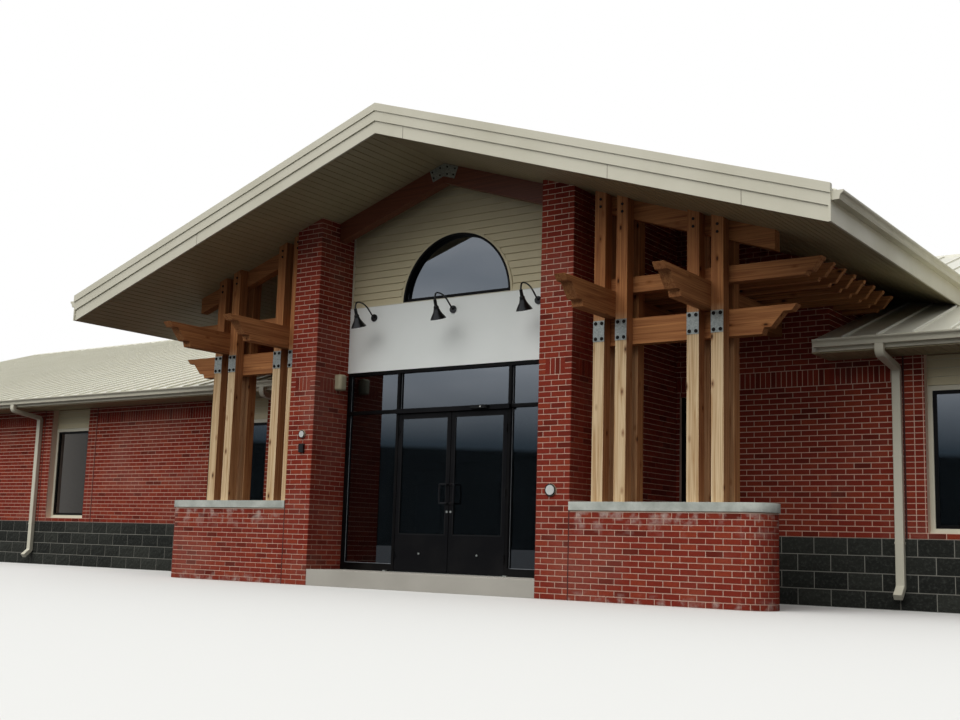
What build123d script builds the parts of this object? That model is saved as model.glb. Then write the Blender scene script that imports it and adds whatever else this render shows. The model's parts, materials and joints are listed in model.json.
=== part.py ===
from build123d import *
import math
import os

os.makedirs("parts", exist_ok=True)

# Town hall: a low brick building with a gabled timber and brick entry. Millimetres, +Z up.
# X runs along the front, Y into the building, Z = 0 is the ground.
# The origin lies on the ground, midway between the piers, under the outer face of the storefront.

# Courses and levels
course = 203.2 / 3
block_course = 203.2
floor_top = 215
base_top = 4 * block_course
eave_soffit_z = 2960
pitch = 0.33

# Entry plan
pier_inner = 1833
pier_wide = 454
pier_outer = pier_inner + pier_wide
pier_front = -675
side_wall_outer = pier_outer + 303
wall = 300
wing_front = 1475
ridge_y = 10225
back_face = 2 * ridge_y - wing_front

# Raised brick part behind the timber frames, up to the entry soffit
raised_left = 4000
raised_right = 4640

# Ends of the two wings
left_face = -23700
right_face = 13430
rake = 500

# Main roof
eave_overhang = 590
roof_thick = 200
roof_edge_z = 3100
eave_front = wing_front - eave_overhang
eave_back = back_face + eave_overhang
fascia_thick = 25
fascia_drop = 145

# Entry roof
porch_edge = -1755
porch_half = 5802
porch_soffit = 5697
porch_deep = 340
porch_apex = porch_soffit + porch_deep
soffit_board = 14
fascia_low = 15
edge_strip = 75

# Low walls beside the entry
low_length = pier_outer + 2132
low_thick = 568
cap_bottom = 1032
cap_top = 1132
cap_over = 22

# Storefront
head_z = 2959
frame_depth = 114
member = 45
door_x = 28
door_half = 904
jamb = 44
door_head = 2348
header_top = 2411
header_proud = 40
sill_rail = 100
leaf_gap = 5.5
meet_gap = 4.6
leaf_thick = 45
leaf_set = 5
leaf_bottom = floor_top + 10
leaf_top = door_head - 4
stile = 53
top_rail = 60
bottom_rail = 490
glass_thick = 24

# Butt hinges of the two leaves
pin_x = door_half - leaf_gap / 2
pin_y = -8
knuckle = 8
pin_radius = 4
pin_fit = 0.3
hinge_high = 108
hinge_plate = 3
hinge_levels = [430, 1260, 2100]

# Pull handles, their grips set to the side of the bolts
pull_high = 250
pull_middle = 1255
pull_reach = 65
pull_offset = 85
pull_radius = 12
pull_bend = 26

# Sign and half-round window
sign_top = 3892
sign_thick = 45
arch_x = 10
arch_radius = 935
arch_trim = 34
arch_member = 32

# Windows of the wings
window_width = 5.5 * block_course
window_pitch = 4704
first_left = -5456
first_right = 6318
end_window_pitch = 5200
window_sill = base_top + course
window_head = 2585
window_recess = 112
panel_set = 18
unit_thick = 70
trim = 56
sash = 42

# Timber frames on the low walls
post = 150
post_gap = 145
row_gap = 136
first_post = pier_outer + 251
second_pair = first_post + 1210
pairs_end = second_pair + 2 * post + post_gap
left_shift = 250
low_beam_deep = 308
cross_beam_deep = 308
high_beam_deep = 190
rake_beam_deep = 235
low_tip = pairs_end + 786
high_tip = pairs_end + 1069
rake_tip = pairs_end + 543
beam_front = -1750
wall_clear = 5
high_beam_drop = 182
purlin_step = 340
purlin_clear = 60
purlin_thick = 76

# Glulam rafters of the entry gable
rafter_front = -309
rafter_thick = 150
rafter_deep = 275


def box(x0, x1, y0, y1, z0, z1):
    """A plain block between two corners."""
    return Pos((x0 + x1) / 2, (y0 + y1) / 2, (z0 + z1) / 2) * Box(x1 - x0, y1 - y0, z1 - z0)


def prism_x(points, x0, x1):
    """A profile drawn in Y and Z, carried along X."""
    face = make_face(Polyline(*[(x0, y, z) for y, z in points], close=True))
    return extrude(face, amount=x1 - x0, dir=(1, 0, 0))


def prism_y(points, y0, y1):
    """A profile drawn in X and Z, carried along Y."""
    face = make_face(Polyline(*[(x, y0, z) for x, z in points], close=True))
    return extrude(face, amount=y1 - y0, dir=(0, 1, 0))


def prism_z(points, z0, z1):
    """An outline drawn in X and Y, carried up Z."""
    face = make_face(Polyline(*[(x, y, z0) for x, y in points], close=True))
    return extrude(face, amount=z1 - z0, dir=(0, 0, 1))


def mirrored(points):
    """The same outline on the other side of X = 0."""
    return [(-a, b) for a, b in reversed(points)]


def save(name, *solids):
    """Write one piece, or several that do not touch, as a node."""
    shape = solids[0] if len(solids) == 1 else Compound(children=list(solids))
    shape.label = name
    export_step(shape, f"parts/{name}.step")


def main_top(y):
    """Height of the main roof's front slope."""
    return roof_edge_z + pitch * (y - eave_front)


def main_under(y):
    return main_top(y) - roof_thick


def porch_top(x):
    return porch_apex - pitch * abs(x)


def porch_under(x):
    return porch_soffit - pitch * abs(x)


# Floor: one slab inside the walls, out to the face of the piers between them
slab = box(left_face + wall, right_face - wall, wing_front + wall, back_face - wall, 0, floor_top)
hall = box(-side_wall_outer + wall, side_wall_outer - wall, wall, wing_front + wall, 0, floor_top)
porch_floor = box(-pier_inner, pier_inner, pier_front, wall, 0, floor_top)
save("floor_slab", slab + hall + porch_floor)

# Split-faced block base under the brick of both wings
end_joint = 5
outer = wing_front
inner = wing_front + wall
back_inner = back_face - wall
save(
    "block_base",
    box(left_face, -side_wall_outer, outer, inner, 0, base_top),
    box(side_wall_outer, right_face, outer, inner, 0, base_top),
    box(left_face, right_face, back_inner, back_face, 0, base_top),
    box(left_face, left_face + wall, inner + end_joint, back_inner - end_joint, 0, base_top),
    box(right_face - wall, right_face, inner + end_joint, back_inner - end_joint, 0, base_top),
)

# Window places: centres along the front, and the narrow one beside the entry
left_windows = [first_left - i * window_pitch for i in range(4)]
right_windows = [first_right + i * window_pitch for i in range(2)]
corner_x = side_wall_outer + 450
corner_width = 800
back_windows = left_windows + [0] + right_windows
end_windows = [ridge_y + i * end_window_pitch for i in (-1, 0, 1)]

# Space over the entry soffit, to trim what stands under it
wide = 3 * pier_outer
above_soffit = prism_y([(-wide, porch_under(wide)), (0, porch_soffit), (wide, porch_under(wide)),
                        (wide, 2 * porch_apex), (-wide, 2 * porch_apex)], pier_front - wall, ridge_y)

# Brick walls of the wings, cut for the windows; next to the entry they rise to its soffit
profile = [(outer, base_top), (inner, base_top), (inner, main_under(inner)), (outer, main_under(outer))]


def front_hole(x, width, top):
    return box(x - width / 2, x + width / 2, outer - wall, inner + wall, window_sill, top)


left_wall = prism_x(profile, left_face, -side_wall_outer)
left_wall += box(-raised_left, -side_wall_outer, outer, inner, base_top, porch_soffit) - above_soffit
for x in left_windows:
    left_wall -= front_hole(x, window_width, eave_soffit_z)
save("front_left_wall", left_wall)

right_wall = prism_x(profile, side_wall_outer, right_face)
right_wall += box(side_wall_outer, raised_right, outer, inner, base_top, porch_soffit) - above_soffit
for x in right_windows:
    right_wall -= front_hole(x, window_width, eave_soffit_z)
right_wall -= front_hole(corner_x, corner_width, window_head)
save("front_right_wall", right_wall)

back_profile = [(2 * ridge_y - y, z) for y, z in reversed(profile)]
back_wall = prism_x(back_profile, left_face, right_face)
for x in back_windows:
    back_wall -= box(x - window_width / 2, x + window_width / 2, back_inner - wall, back_face + wall,
                     window_sill, eave_soffit_z)
save("back_wall", back_wall)

end_top = main_under(outer)
for name, x0 in (("left_end_wall", left_face), ("right_end_wall", right_face - wall)):
    end_wall = box(x0, x0 + wall, inner, back_inner, base_top, end_top)
    for y in end_windows:
        end_wall -= box(x0 - wall, x0 + 2 * wall, y - window_width / 2, y + window_width / 2, window_sill,
                        window_head)
    save(name, end_wall)

# Siding gables above the end walls
gable_profile = [(inner, end_top), (2 * ridge_y - inner, end_top), (2 * ridge_y - inner, main_under(inner)),
                 (ridge_y, main_under(ridge_y)), (inner, main_under(inner))]
save("end_gables", prism_x(gable_profile, left_face, left_face + wall),
     prism_x(gable_profile, right_face - wall, right_face))

# Side walls of the entry: a short return beside the storefront, then back to the wing's front wall
for name, side in (("entry_left_wall", -1), ("entry_right_wall", 1)):
    x0, x1 = sorted((side * side_wall_outer, side * (side_wall_outer - wall)))
    shape = box(x0, x1, 0, inner, 0, porch_soffit)
    x0, x1 = sorted((side * (side_wall_outer - wall), side * pier_inner))
    shape += box(x0, x1, 0, wall, 0, porch_soffit)
    save(name, shape - above_soffit)

# Side walls of the raised part, three-cornered: they stand on the main roof and stop at the entry soffit
over_roof = [(inner, main_top(inner)), (ridge_y, main_top(ridge_y)), (inner, main_top(ridge_y))]
save("raised_side_walls", prism_x(over_roof, -raised_left, wall - raised_left) - above_soffit,
     prism_x(over_roof, raised_right - wall, raised_right) - above_soffit)

# Brick piers either side of the entrance, up to the sloping soffit
piers = [box(*sorted((s * pier_inner, s * pier_outer)), pier_front, 0, 0, porch_soffit) - above_soffit
         for s in (-1, 1)]
save("entry_piers", *piers)

# Low walls with rounded ends and precast caps
low_front = pier_front
low_back = pier_front + low_thick
radius = low_thick / 2


def low_outline(side, grow, z0, z1):
    straight = box(*sorted((side * pier_outer, side * low_length)), low_front - grow, low_back + grow, z0, z1)
    nose = Pos(side * low_length, low_front + radius, (z0 + z1) / 2) * Cylinder(radius + grow, z1 - z0)
    return straight + nose


save("low_walls", *[low_outline(s, 0, 0, cap_bottom) for s in (-1, 1)])
save("wall_caps", *[low_outline(s, cap_over, cap_bottom, cap_top) for s in (-1, 1)])

# Siding wall of the entry gable, with the half-round window opening
siding_set = 30
siding_thick = 200
siding_back = siding_set + siding_thick
gable = prism_y([(-pier_inner, head_z), (pier_inner, head_z), (pier_inner, porch_under(pier_inner)),
                 (0, porch_soffit), (-pier_inner, porch_under(pier_inner))], siding_set, siding_back)


def half_disc(r, y0, y1, lift):
    """Upper half of a disc in the plane of the gable, its flat side lifted over the sign."""
    disc = Pos(arch_x, (y0 + y1) / 2, sign_top) * Rot(90, 0, 0) * Cylinder(r, y1 - y0)
    return disc & box(arch_x - r, arch_x + r, y0, y1, sign_top + lift, sign_top + r)


def half_ring(r, thick, y0, y1):
    """A half-round frame with its bottom rail."""
    return half_disc(r, y0, y1, 0) - half_disc(r - thick, y0 - wall, y1 + wall, thick)


save("entry_gable_wall", gable - half_disc(arch_radius, siding_set - wall, siding_back + wall, 0))
save("sign_panel", box(-pier_inner, pier_inner, siding_set - sign_thick, siding_set, head_z, sign_top))

# Half-round window: light trim ring round the outside, dark frame and one pane
trim_proud = 15
arch_recess = 25
arch_frame_deep = 90
frame_radius = arch_radius - arch_trim
pane_radius = frame_radius - arch_member
trim_ring = half_disc(arch_radius, siding_set - trim_proud, siding_set + arch_recess, 0)
trim_ring -= half_disc(frame_radius, siding_set - wall, siding_back, 0)
save("arched_window_trim", trim_ring)
arch_front = siding_set + arch_recess
arch_frame = half_ring(frame_radius, arch_member, siding_set - trim_proud, arch_front)
arch_frame += half_ring(arch_radius, arch_radius - pane_radius, arch_front, arch_front + arch_frame_deep)
save("arched_window_frame", arch_frame)
pane_front = arch_front + arch_frame_deep / 2 - glass_thick / 2
pane_back = pane_front + glass_thick
save("arched_window_glass", half_disc(pane_radius, pane_front, pane_back, arch_radius - pane_radius))

# Storefront frame: jambs, mullions, rails; the doorway stays open
post_outer = door_half + jamb
frame = box(-pier_inner, pier_inner, 0, frame_depth, head_z - member, head_z)
for x0, x1 in ((-pier_inner, member - pier_inner), (pier_inner - member, pier_inner),
               (door_x - post_outer, door_x - door_half), (door_x + door_half, door_x + post_outer)):
    frame += box(x0, x1, 0, frame_depth, floor_top, head_z)
frame += box(door_x - post_outer, door_x + post_outer, 0, frame_depth, door_head, header_top)
sidelights = [(member - pier_inner, door_x - post_outer), (door_x + post_outer, pier_inner - member)]
for x0, x1 in sidelights:
    frame += box(x0, x1, 0, frame_depth, floor_top, floor_top + sill_rail)
    frame += box(x0, x1, 0, frame_depth, header_top - member, header_top)
save("storefront_frame", frame)

glass_y = (frame_depth / 2 - glass_thick / 2, frame_depth / 2 + glass_thick / 2)
panes = [box(door_x - door_half, door_x + door_half, *glass_y, header_top, head_z - member)]
for x0, x1 in sidelights:
    panes.append(box(x0, x1, *glass_y, floor_top + sill_rail, header_top - member))
    panes.append(box(x0, x1, *glass_y, header_top, head_z - member))
save("storefront_glass", *panes)
save("door_header", box(door_x - post_outer, door_x + post_outer, -header_proud, 0, door_head, header_top))

# Door leaves, each hung on its outer edge, with full glass, butt hinges and an offset pull
hinge_leaf = 32
knuckle_high = hinge_high / 3
fixed_high = knuckle_high - pin_fit
plate_back = pin_y + knuckle
hinges = []
for side, s in (("left", -1), ("right", 1)):
    x0, x1 = sorted((door_x + s * (door_half - leaf_gap), door_x + s * meet_gap))
    y0, y1 = leaf_set, leaf_set + leaf_thick
    leaf = box(x0, x1, y0, y1, leaf_bottom, leaf_top)
    pane_low, pane_high = leaf_bottom + bottom_rail, leaf_top - top_rail
    leaf -= box(x0 + stile, x1 - stile, y0 - stile, y1 + stile, pane_low, pane_high)
    xp = door_x + s * pin_x
    for z in hinge_levels:
        barrel = Pos(xp, pin_y, z) * Cylinder(knuckle, knuckle_high)
        a, b = sorted((xp, xp - s * hinge_leaf))
        barrel += box(a, b, plate_back - hinge_plate, y0, z - knuckle_high / 2, z + knuckle_high / 2)
        leaf += barrel - Pos(xp, pin_y, z) * Cylinder(pin_radius + pin_fit, hinge_high)
        pin = Pos(xp, pin_y, z) * Cylinder(pin_radius, hinge_high)
        a, b = sorted((xp, xp + s * hinge_leaf))
        for end in (-1, 1):
            zc = z + end * (hinge_high - fixed_high) / 2
            pin += Pos(xp, pin_y, zc) * Cylinder(knuckle, fixed_high)
            pin += box(a, b, plate_back - hinge_plate, 0, zc - fixed_high / 2, zc + fixed_high / 2)
        hinges.append(pin)
    save(f"{side}_door_leaf", leaf)
    ym = (y0 + y1) / 2
    save(f"{side}_door_glass", box(x0 + stile, x1 - stile, ym - glass_thick / 2, ym + glass_thick / 2,
                                   pane_low, pane_high))
    bolt_x = door_x + s * (meet_gap + stile / 2)
    grip_x = bolt_x + s * pull_offset
    z0, z1 = pull_middle - pull_high / 2, pull_middle + pull_high / 2
    elbow_y, grip_y = y0 - pull_reach / 2, y0 - pull_reach
    route = FilletPolyline((bolt_x, y0, z1), (bolt_x, elbow_y, z1), (grip_x, grip_y, z1),
                           (grip_x, grip_y, z0), (bolt_x, elbow_y, z0), (bolt_x, y0, z0),
                           radius=pull_bend / 2)
    bar = Plane(origin=route @ 0, z_dir=route % 0) * Circle(pull_radius)
    save(f"{side}_door_handle", sweep(bar, path=route))
save("door_hinges", *hinges)

# Timber frames: two rows of posts on each low wall, up to the entry soffit
row_mid = low_front + radius
front_row = (row_mid - row_gap / 2 - post, row_mid - row_gap / 2)
back_row = (row_mid + row_gap / 2, row_mid + row_gap / 2 + post)
post_x = [first_post, first_post + post + post_gap, second_pair, second_pair + post + post_gap]
frame_sides = [(-1, left_shift), (1, 0)]
post_slack = 1
posts = []
for s, shift in frame_sides:
    for x in post_x:
        a, b = sorted((s * (x - shift), s * (x - shift + post)))
        za, zb = porch_under(a) - post_slack, porch_under(b) - post_slack
        for row in (front_row, back_row):
            posts.append(prism_y([(a, cap_top), (b, cap_top), (b, zb), (a, za)], *row))
save("timber_posts", *posts)

# Beam ends: how far in the corners of the outline lie, as shares of the cut, from the tip
notched = (0, 0.16, 0.38, 0.74, 0.94, 1)
plain = (0, 0.1, 0.16, 0.6, 0.88, 1)
deep_cut = 400
deep_nib = 72
shallow_cut = 190
shallow_nib = 40


def beam_end(tip, z0, z1, cut, nib, shares):
    """End of a beam, from its top corner: a nib, a notch, a raking cut, a second notch and a nib."""
    along = [tip - share * cut for share in shares]
    levels = [z1, z1 - nib, z1 - nib, z0 + nib, z0 + nib, z0]
    return list(zip(along, levels))


# Beams between the two rows: a deep one, a shallow one over it, and one under the sloping soffit
high_beam_z = porch_under(high_tip) - high_beam_drop - high_beam_deep
side_beam_z = high_beam_z - cross_beam_deep
low_beam_z = side_beam_z - low_beam_deep
cross_y = (row_mid - row_gap / 2, row_mid + row_gap / 2)
high_beam_top = high_beam_z + high_beam_deep
beams = []
for s, shift in frame_sides:
    start = first_post - shift
    low = beam_end(low_tip - shift, low_beam_z, side_beam_z, deep_cut, deep_nib, notched)
    high = beam_end(high_tip - shift, high_beam_z, high_beam_top, shallow_cut, shallow_nib, plain)
    low += [(start, low_beam_z), (start, side_beam_z)]
    high += [(start, high_beam_z), (start, high_beam_top)]
    end = rake_tip - shift
    rake_beam = [(start, porch_under(start) - post_slack), (start, porch_under(start) - rake_beam_deep),
                 (end, porch_under(end) - rake_beam_deep), (end, porch_under(end) - post_slack)]
    for outline in (low, high, rake_beam):
        beams.append(prism_y(outline if s > 0 else mirrored(outline), *cross_y))
save("cross_beams", *beams)

# Beams between the pairs of posts: out past them in front, and back to the brick wall behind
side_beams = []
side_end = beam_end(-beam_front, side_beam_z, high_beam_z, deep_cut, deep_nib, notched)
for s, shift in frame_sides:
    for x in (first_post, second_pair):
        a = x + post - shift
        beam_back = -wall_clear if a < side_wall_outer else wing_front
        outline = [(-y, z) for y, z in side_end]
        outline += [(beam_back, side_beam_z), (beam_back, high_beam_z)]
        side_beams.append(prism_x(outline, *sorted((s * a, s * (a + post_gap)))))
save("projecting_beams", *side_beams)

# Purlins: a row over those beams, then more out of the raised side walls while the main roof clears them
last_purlin_y = eave_front + (high_beam_z - purlin_clear - roof_edge_z) / pitch
purlin_count = int((last_purlin_y - row_mid) / purlin_step)
half_purlin = purlin_thick / 2
purlins = []
for s, shift in frame_sides:
    raised = raised_right if s > 0 else raised_left
    for i in range(1, purlin_count + 1):
        y = row_mid + i * purlin_step
        start = raised if y > wing_front else side_wall_outer
        if y < 0:
            start = first_post + post - shift
        outline = beam_end(high_tip - shift, high_beam_z, high_beam_top, shallow_cut, shallow_nib, plain)
        outline += [(start, high_beam_z), (start, high_beam_top)]
        purlins.append(prism_y(outline if s > 0 else mirrored(outline), y - half_purlin, y + half_purlin))
save("eave_lookouts", *purlins)

# Galvanised plates on the posts where the lower beam passes
plate_thick = 6
plate_rise = 31
plate_high = 252
plates = []
for s, shift in frame_sides:
    for x in post_x:
        a, b = sorted((s * (x - shift), s * (x - shift + post)))
        z = low_beam_z + plate_rise
        plates.append(box(a, b, front_row[0] - plate_thick, front_row[0], z, z + plate_high))
        plates.append(box(a, b, back_row[1], back_row[1] + plate_thick, z, z + plate_high))
save("connector_plates", *plates)

# Glulam rafters across the entry gable and the plate at their meeting
rafter_slack = 1
middle_z, outer_z = porch_under(rafter_slack), porch_under(pier_inner)
half = [(rafter_slack, middle_z - rafter_slack), (pier_inner, outer_z - rafter_slack),
        (pier_inner, outer_z - rafter_deep), (rafter_slack, middle_z - rafter_deep)]
rafter_y = (rafter_front, rafter_front + rafter_thick)
save("gable_rafters", prism_y(half, *rafter_y), prism_y(mirrored(half), *rafter_y))
gusset_half = 238
gusset_drop = 12
gusset_deep = 190
gusset_low = gusset_half - pitch * (gusset_deep - gusset_drop)
gusset_thick = 8
gusset = [(x, porch_under(x) - gusset_drop) for x in (-gusset_half, 0, gusset_half)]
gusset += [(x, porch_under(x) - gusset_deep) for x in (gusset_low, 0, -gusset_low)]
save("rafter_gusset", prism_y(gusset, rafter_front - gusset_thick, rafter_front))

# Entry roof: thick deck down to the soffit boards, resting on the main roof behind
deck_under = porch_soffit + soffit_board
fall = pitch * porch_half
deck = [(-porch_half, porch_apex - fall), (0, porch_apex), (porch_half, porch_apex - fall),
        (porch_half, deck_under - fall), (0, deck_under), (-porch_half, deck_under - fall)]
front_reach = eave_front + 2 * porch_edge
back_reach = ridge_y + soffit_board
under_slope = [(front_reach, main_top(front_reach)), (back_reach, main_top(back_reach)),
               (back_reach, 0), (front_reach, 0)]
below_main = prism_x(under_slope, -2 * porch_half, 2 * porch_half)
deck_front = porch_edge + fascia_thick
save("entry_roof", prism_y(deck, deck_front, ridge_y) - below_main)

# Soffit boards of the entry, on both slopes, from the fascia back to the walls and the main roof
soffit = [(-porch_half, porch_soffit - fall), (0, porch_soffit), (porch_half, porch_soffit - fall),
          (porch_half, deck_under - fall), (0, deck_under), (-porch_half, deck_under - fall)]
save("entry_soffit", prism_y(soffit, deck_front, ridge_y) - below_main)

# Fascia of the entry: front rakes in two steps under a raised rake trim, and straight runs along both eaves
step_out = 18
upper_band = 120
trim_out = 14
trim_cover = 66
trim_rise = 35


def chevron(low_edge, high_edge, y0, y1, reach=porch_half):
    """A gable-shaped band between two heights over the middle, both falling at the roof's pitch."""
    low_end, high_end = low_edge - pitch * reach, high_edge - pitch * reach
    points = [(-reach, low_end), (0, low_edge), (reach, low_end), (reach, high_end), (0, high_edge),
              (-reach, high_end)]
    return prism_y(points, y0, y1)


eave_step = 20
band_front = porch_edge - step_out
front_fascia = chevron(porch_soffit - fascia_low, porch_apex - edge_strip, porch_edge, deck_front)
front_fascia += chevron(porch_apex - edge_strip - upper_band, porch_apex, band_front, porch_edge)
front_fascia += chevron(porch_apex - trim_cover, porch_apex + trim_rise, band_front - trim_out, deck_front,
                        porch_half + fascia_thick)
eave_end_y = eave_front + (porch_top(porch_half) - roof_edge_z) / pitch
for s in (-1, 1):
    x0, x1 = sorted((s * porch_half, s * (porch_half + fascia_thick)))
    front_fascia += box(x0, x1, band_front, eave_end_y, porch_under(porch_half) - fascia_low,
                        porch_top(porch_half) - eave_step)
save("entry_fascia", front_fascia - below_main)

# Gutters: an open ogee-fronted channel, carried along each eave
gutter_wide = 120
gutter_high = 90
gutter_floor = 76
gutter_skin = 3
curve = [(84, -52), (96, -36), (114, -24), (gutter_wide, -14), (gutter_wide, 0)]
inside = [(a - gutter_skin, b) for a, b in reversed(curve)]
ogee = [(0, 0), (0, -gutter_high), (gutter_floor, -gutter_high), *curve, *inside,
        (gutter_floor - gutter_skin, gutter_skin - gutter_high), (gutter_skin, gutter_skin - gutter_high),
        (gutter_skin, 0)]
gutter_drop = 12
gutter_stop = 60
porch_gutter_drop = 50
porch_gutter_z = porch_top(porch_half) - porch_gutter_drop
gutter_end_y = eave_end_y - gutter_stop
gutters = []
for s in (-1, 1):
    outline = [(s * (porch_half + fascia_thick + a), porch_gutter_z + b) for a, b in ogee]
    gutters.append(prism_y(outline if s > 0 else outline[::-1], porch_edge, gutter_end_y) - below_main)
save("entry_gutters", *gutters)

# Main roof: two front slopes beside the raised part, a piece behind it round the hall, and the back slope
roof_left = left_face - rake
roof_right = right_face + rake
heel_y = eave_front + (eave_soffit_z - main_under(eave_front)) / pitch
front_slope = [(eave_front, roof_edge_z), (ridge_y, main_top(ridge_y)), (ridge_y, main_under(ridge_y)),
               (heel_y, eave_soffit_z), (eave_front, eave_soffit_z)]
back_slope = [(2 * ridge_y - y, z) for y, z in reversed(front_slope)]
save("main_roof_left", prism_x(front_slope, roof_left, -raised_left))
save("main_roof_right", prism_x(front_slope, raised_right, roof_right))
middle = [(inner, main_top(inner)), (ridge_y, main_top(ridge_y)), (ridge_y, main_under(ridge_y)),
          (inner, main_under(inner))]
hall_half = side_wall_outer - wall
hall_back = (inner + ridge_y) / 2
hall_well = box(-hall_half, hall_half, inner - wall, hall_back, 0, porch_apex)
save("main_roof_middle", prism_x(middle, -raised_left, raised_right) - hall_well)
save("main_roof_back", prism_x(back_slope, roof_left, roof_right))

# Fascia, soffit and gutters of the main eaves; by the raised part the gutters run on past the fascia
fascia_start = 90
gutter_start = 50
fascia_rest = 6
eave_runs = [(roof_left, -raised_left, 0, -1, 1), (raised_right, roof_right, 1, 0, 1),
             (roof_left, roof_right, 0, 0, -1)]
fascias = []
soffits = []
main_gutters = []


def at_eave(points, way):
    """Points of the front eave, or the same turned over the ridge to the back."""
    return points if way > 0 else [(2 * ridge_y - y, z) for y, z in points]


fascia_front = eave_front - fascia_thick
board = [(fascia_front, roof_edge_z - fascia_drop), (eave_front, roof_edge_z - fascia_drop),
         (eave_front, roof_edge_z - fascia_rest), (fascia_front, roof_edge_z - fascia_rest)]
panel = [(eave_front, eave_soffit_z - soffit_board), (wing_front, eave_soffit_z - soffit_board),
         (wing_front, eave_soffit_z), (eave_front, eave_soffit_z)]
channel = [(fascia_front - a, roof_edge_z - gutter_drop + b) for a, b in ogee]
for x0, x1, near_start, near_end, way in eave_runs:
    board_ends = x0 + fascia_start * near_start, x1 + fascia_start * near_end
    gutter_ends = x0 + gutter_start * near_start, x1 + gutter_start * near_end
    fascias.append(prism_x(at_eave(board, way), *board_ends))
    soffits.append(prism_x(at_eave(panel, way), x0, x1))
    main_gutters.append(prism_x(at_eave(channel, way), *gutter_ends))
save("main_fascia", *fascias)
save("main_soffit", *soffits)
save("main_gutters", *main_gutters)

# Downspouts: square pipe with two elbows from each gutter to the wall and a third one out at its foot
pipe_w = 100
pipe_d = 75
pipe_corner = 8
pipe_bend = 60
outlet_drop = 112
elbow_drop = 200
kick_out = 130
kick_drop = 110
pipe_foot = 150
pipe_clear = 8
spout_front = [-20450, -11075, -4380, 5455, 12000]
spout_back = [-20450, -10920, 5440, 12000]


def downspout(x):
    """One pipe at the front, swept from its gutter outlet to its foot."""
    top = roof_edge_z - gutter_drop - gutter_high
    outlet_y = fascia_front - gutter_floor / 2
    wall_y = wing_front - pipe_clear - pipe_d / 2
    route = FilletPolyline((x, outlet_y, top), (x, outlet_y, top - outlet_drop),
                           (x, wall_y, top - elbow_drop), (x, wall_y, pipe_foot + kick_drop),
                           (x, wall_y - kick_out, pipe_foot), radius=pipe_bend)
    section = RectangleRounded(pipe_w, pipe_d, pipe_corner)
    return sweep(Plane(origin=route @ 0, x_dir=(1, 0, 0), z_dir=route % 0) * section, path=route)


spouts = [downspout(x) for x in spout_front]
spouts += [Pos(0, 2 * ridge_y, 0) * (Rot(0, 0, 180) * downspout(-x)) for x in spout_back]
save("downspouts", *spouts)

# Windows: tan trim and siding panel, dark sash, glass
frames = []
glasses = []
panels = []
sash_set = 15
sash_deep = 50


def window(x, width, place, panel_top, recess):
    """One window unit drawn on a wall whose outer face is Y = 0, then placed."""
    x0, x1 = x - width / 2, x + width / 2
    unit = box(x0, x1, recess, recess + unit_thick, window_sill, window_head)
    if panel_top > window_head:
        unit += box(x0, x1, recess + panel_set, recess + unit_thick, window_head, panel_top)
    unit -= box(x0 + trim, x1 - trim, 0, wall, window_sill + trim, window_head - trim)
    panels.append(place * unit)
    x0, x1 = x0 + trim, x1 - trim
    z0, z1 = window_sill + trim, window_head - trim
    ring = box(x0, x1, recess + sash_set, recess + sash_set + sash_deep, z0, z1)
    ring -= box(x0 + sash, x1 - sash, 0, wall, z0 + sash, z1 - sash)
    frames.append(place * ring)
    pane_y = recess + 2 * sash_set
    glasses.append(place * box(x0 + sash, x1 - sash, pane_y, pane_y + glass_thick, z0 + sash, z1 - sash))


panel_high = eave_soffit_z - soffit_board
for x in left_windows + right_windows:
    window(x, window_width, Pos(0, wing_front, 0), panel_high, window_recess)
window(corner_x, corner_width, Pos(0, wing_front, 0), window_head, window_recess / 2)
for x in back_windows:
    window(-x, window_width, Pos(0, back_face, 0) * Rot(0, 0, 180), panel_high, window_recess)
for y in end_windows:
    window(-y, window_width, Pos(left_face, 0, 0) * Rot(0, 0, -90), window_head, window_recess)
    window(y, window_width, Pos(right_face, 0, 0) * Rot(0, 0, 90), window_head, window_recess)
save("window_frames", *frames)
save("window_glass", *glasses)
save("window_panels", *panels)

# Gooseneck lamps over the sign: the arm rises, turns over and ends in a bell tipped toward the wall
lamp_x = [-1376, 12, 1374]
lamp_z = 3728
lamp_reach = 415
crest_reach = 257
crest_rise = 158
turn_rise = 148
arm_radius = 11
rose_radius = 52
rose_thick = 16
lamp_tip = 20
neck_rise = 62
sign_face = siding_set - sign_thick
bell = [(0, 0), (21, 0), (23, -80), (34, -96), (38, -130), (56, -175), (92, -232), (108, -262), (100, -262),
        (84, -232), (48, -178), (26, -134), (0, -120)]
lamps = []
for x in lamp_x:
    arm_end = sign_face - lamp_reach
    path = Spline((x, sign_face - rose_thick, lamp_z), (x, sign_face - crest_reach, lamp_z + crest_rise),
                  (x, arm_end + 2 * arm_radius, lamp_z + turn_rise), (x, arm_end, lamp_z + neck_rise),
                  tangents=[(0, -1, 0.72), (0, 0, -1)])
    arm = sweep(Plane(origin=path @ 0, z_dir=path % 0) * Circle(arm_radius), path=path)
    rose = Pos(x, sign_face - rose_thick / 2, lamp_z) * Rot(90, 0, 0) * Cylinder(rose_radius, rose_thick)
    face = make_face(Polyline(*[(r, 0, z) for r, z in bell], close=True))
    shade = Pos(x, arm_end, lamp_z + neck_rise) * Rot(lamp_tip, 0, 0) * revolve(face, Axis.Z)
    lamps.append(arm + rose + shade)
save("gooseneck_lamps", *lamps)

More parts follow.
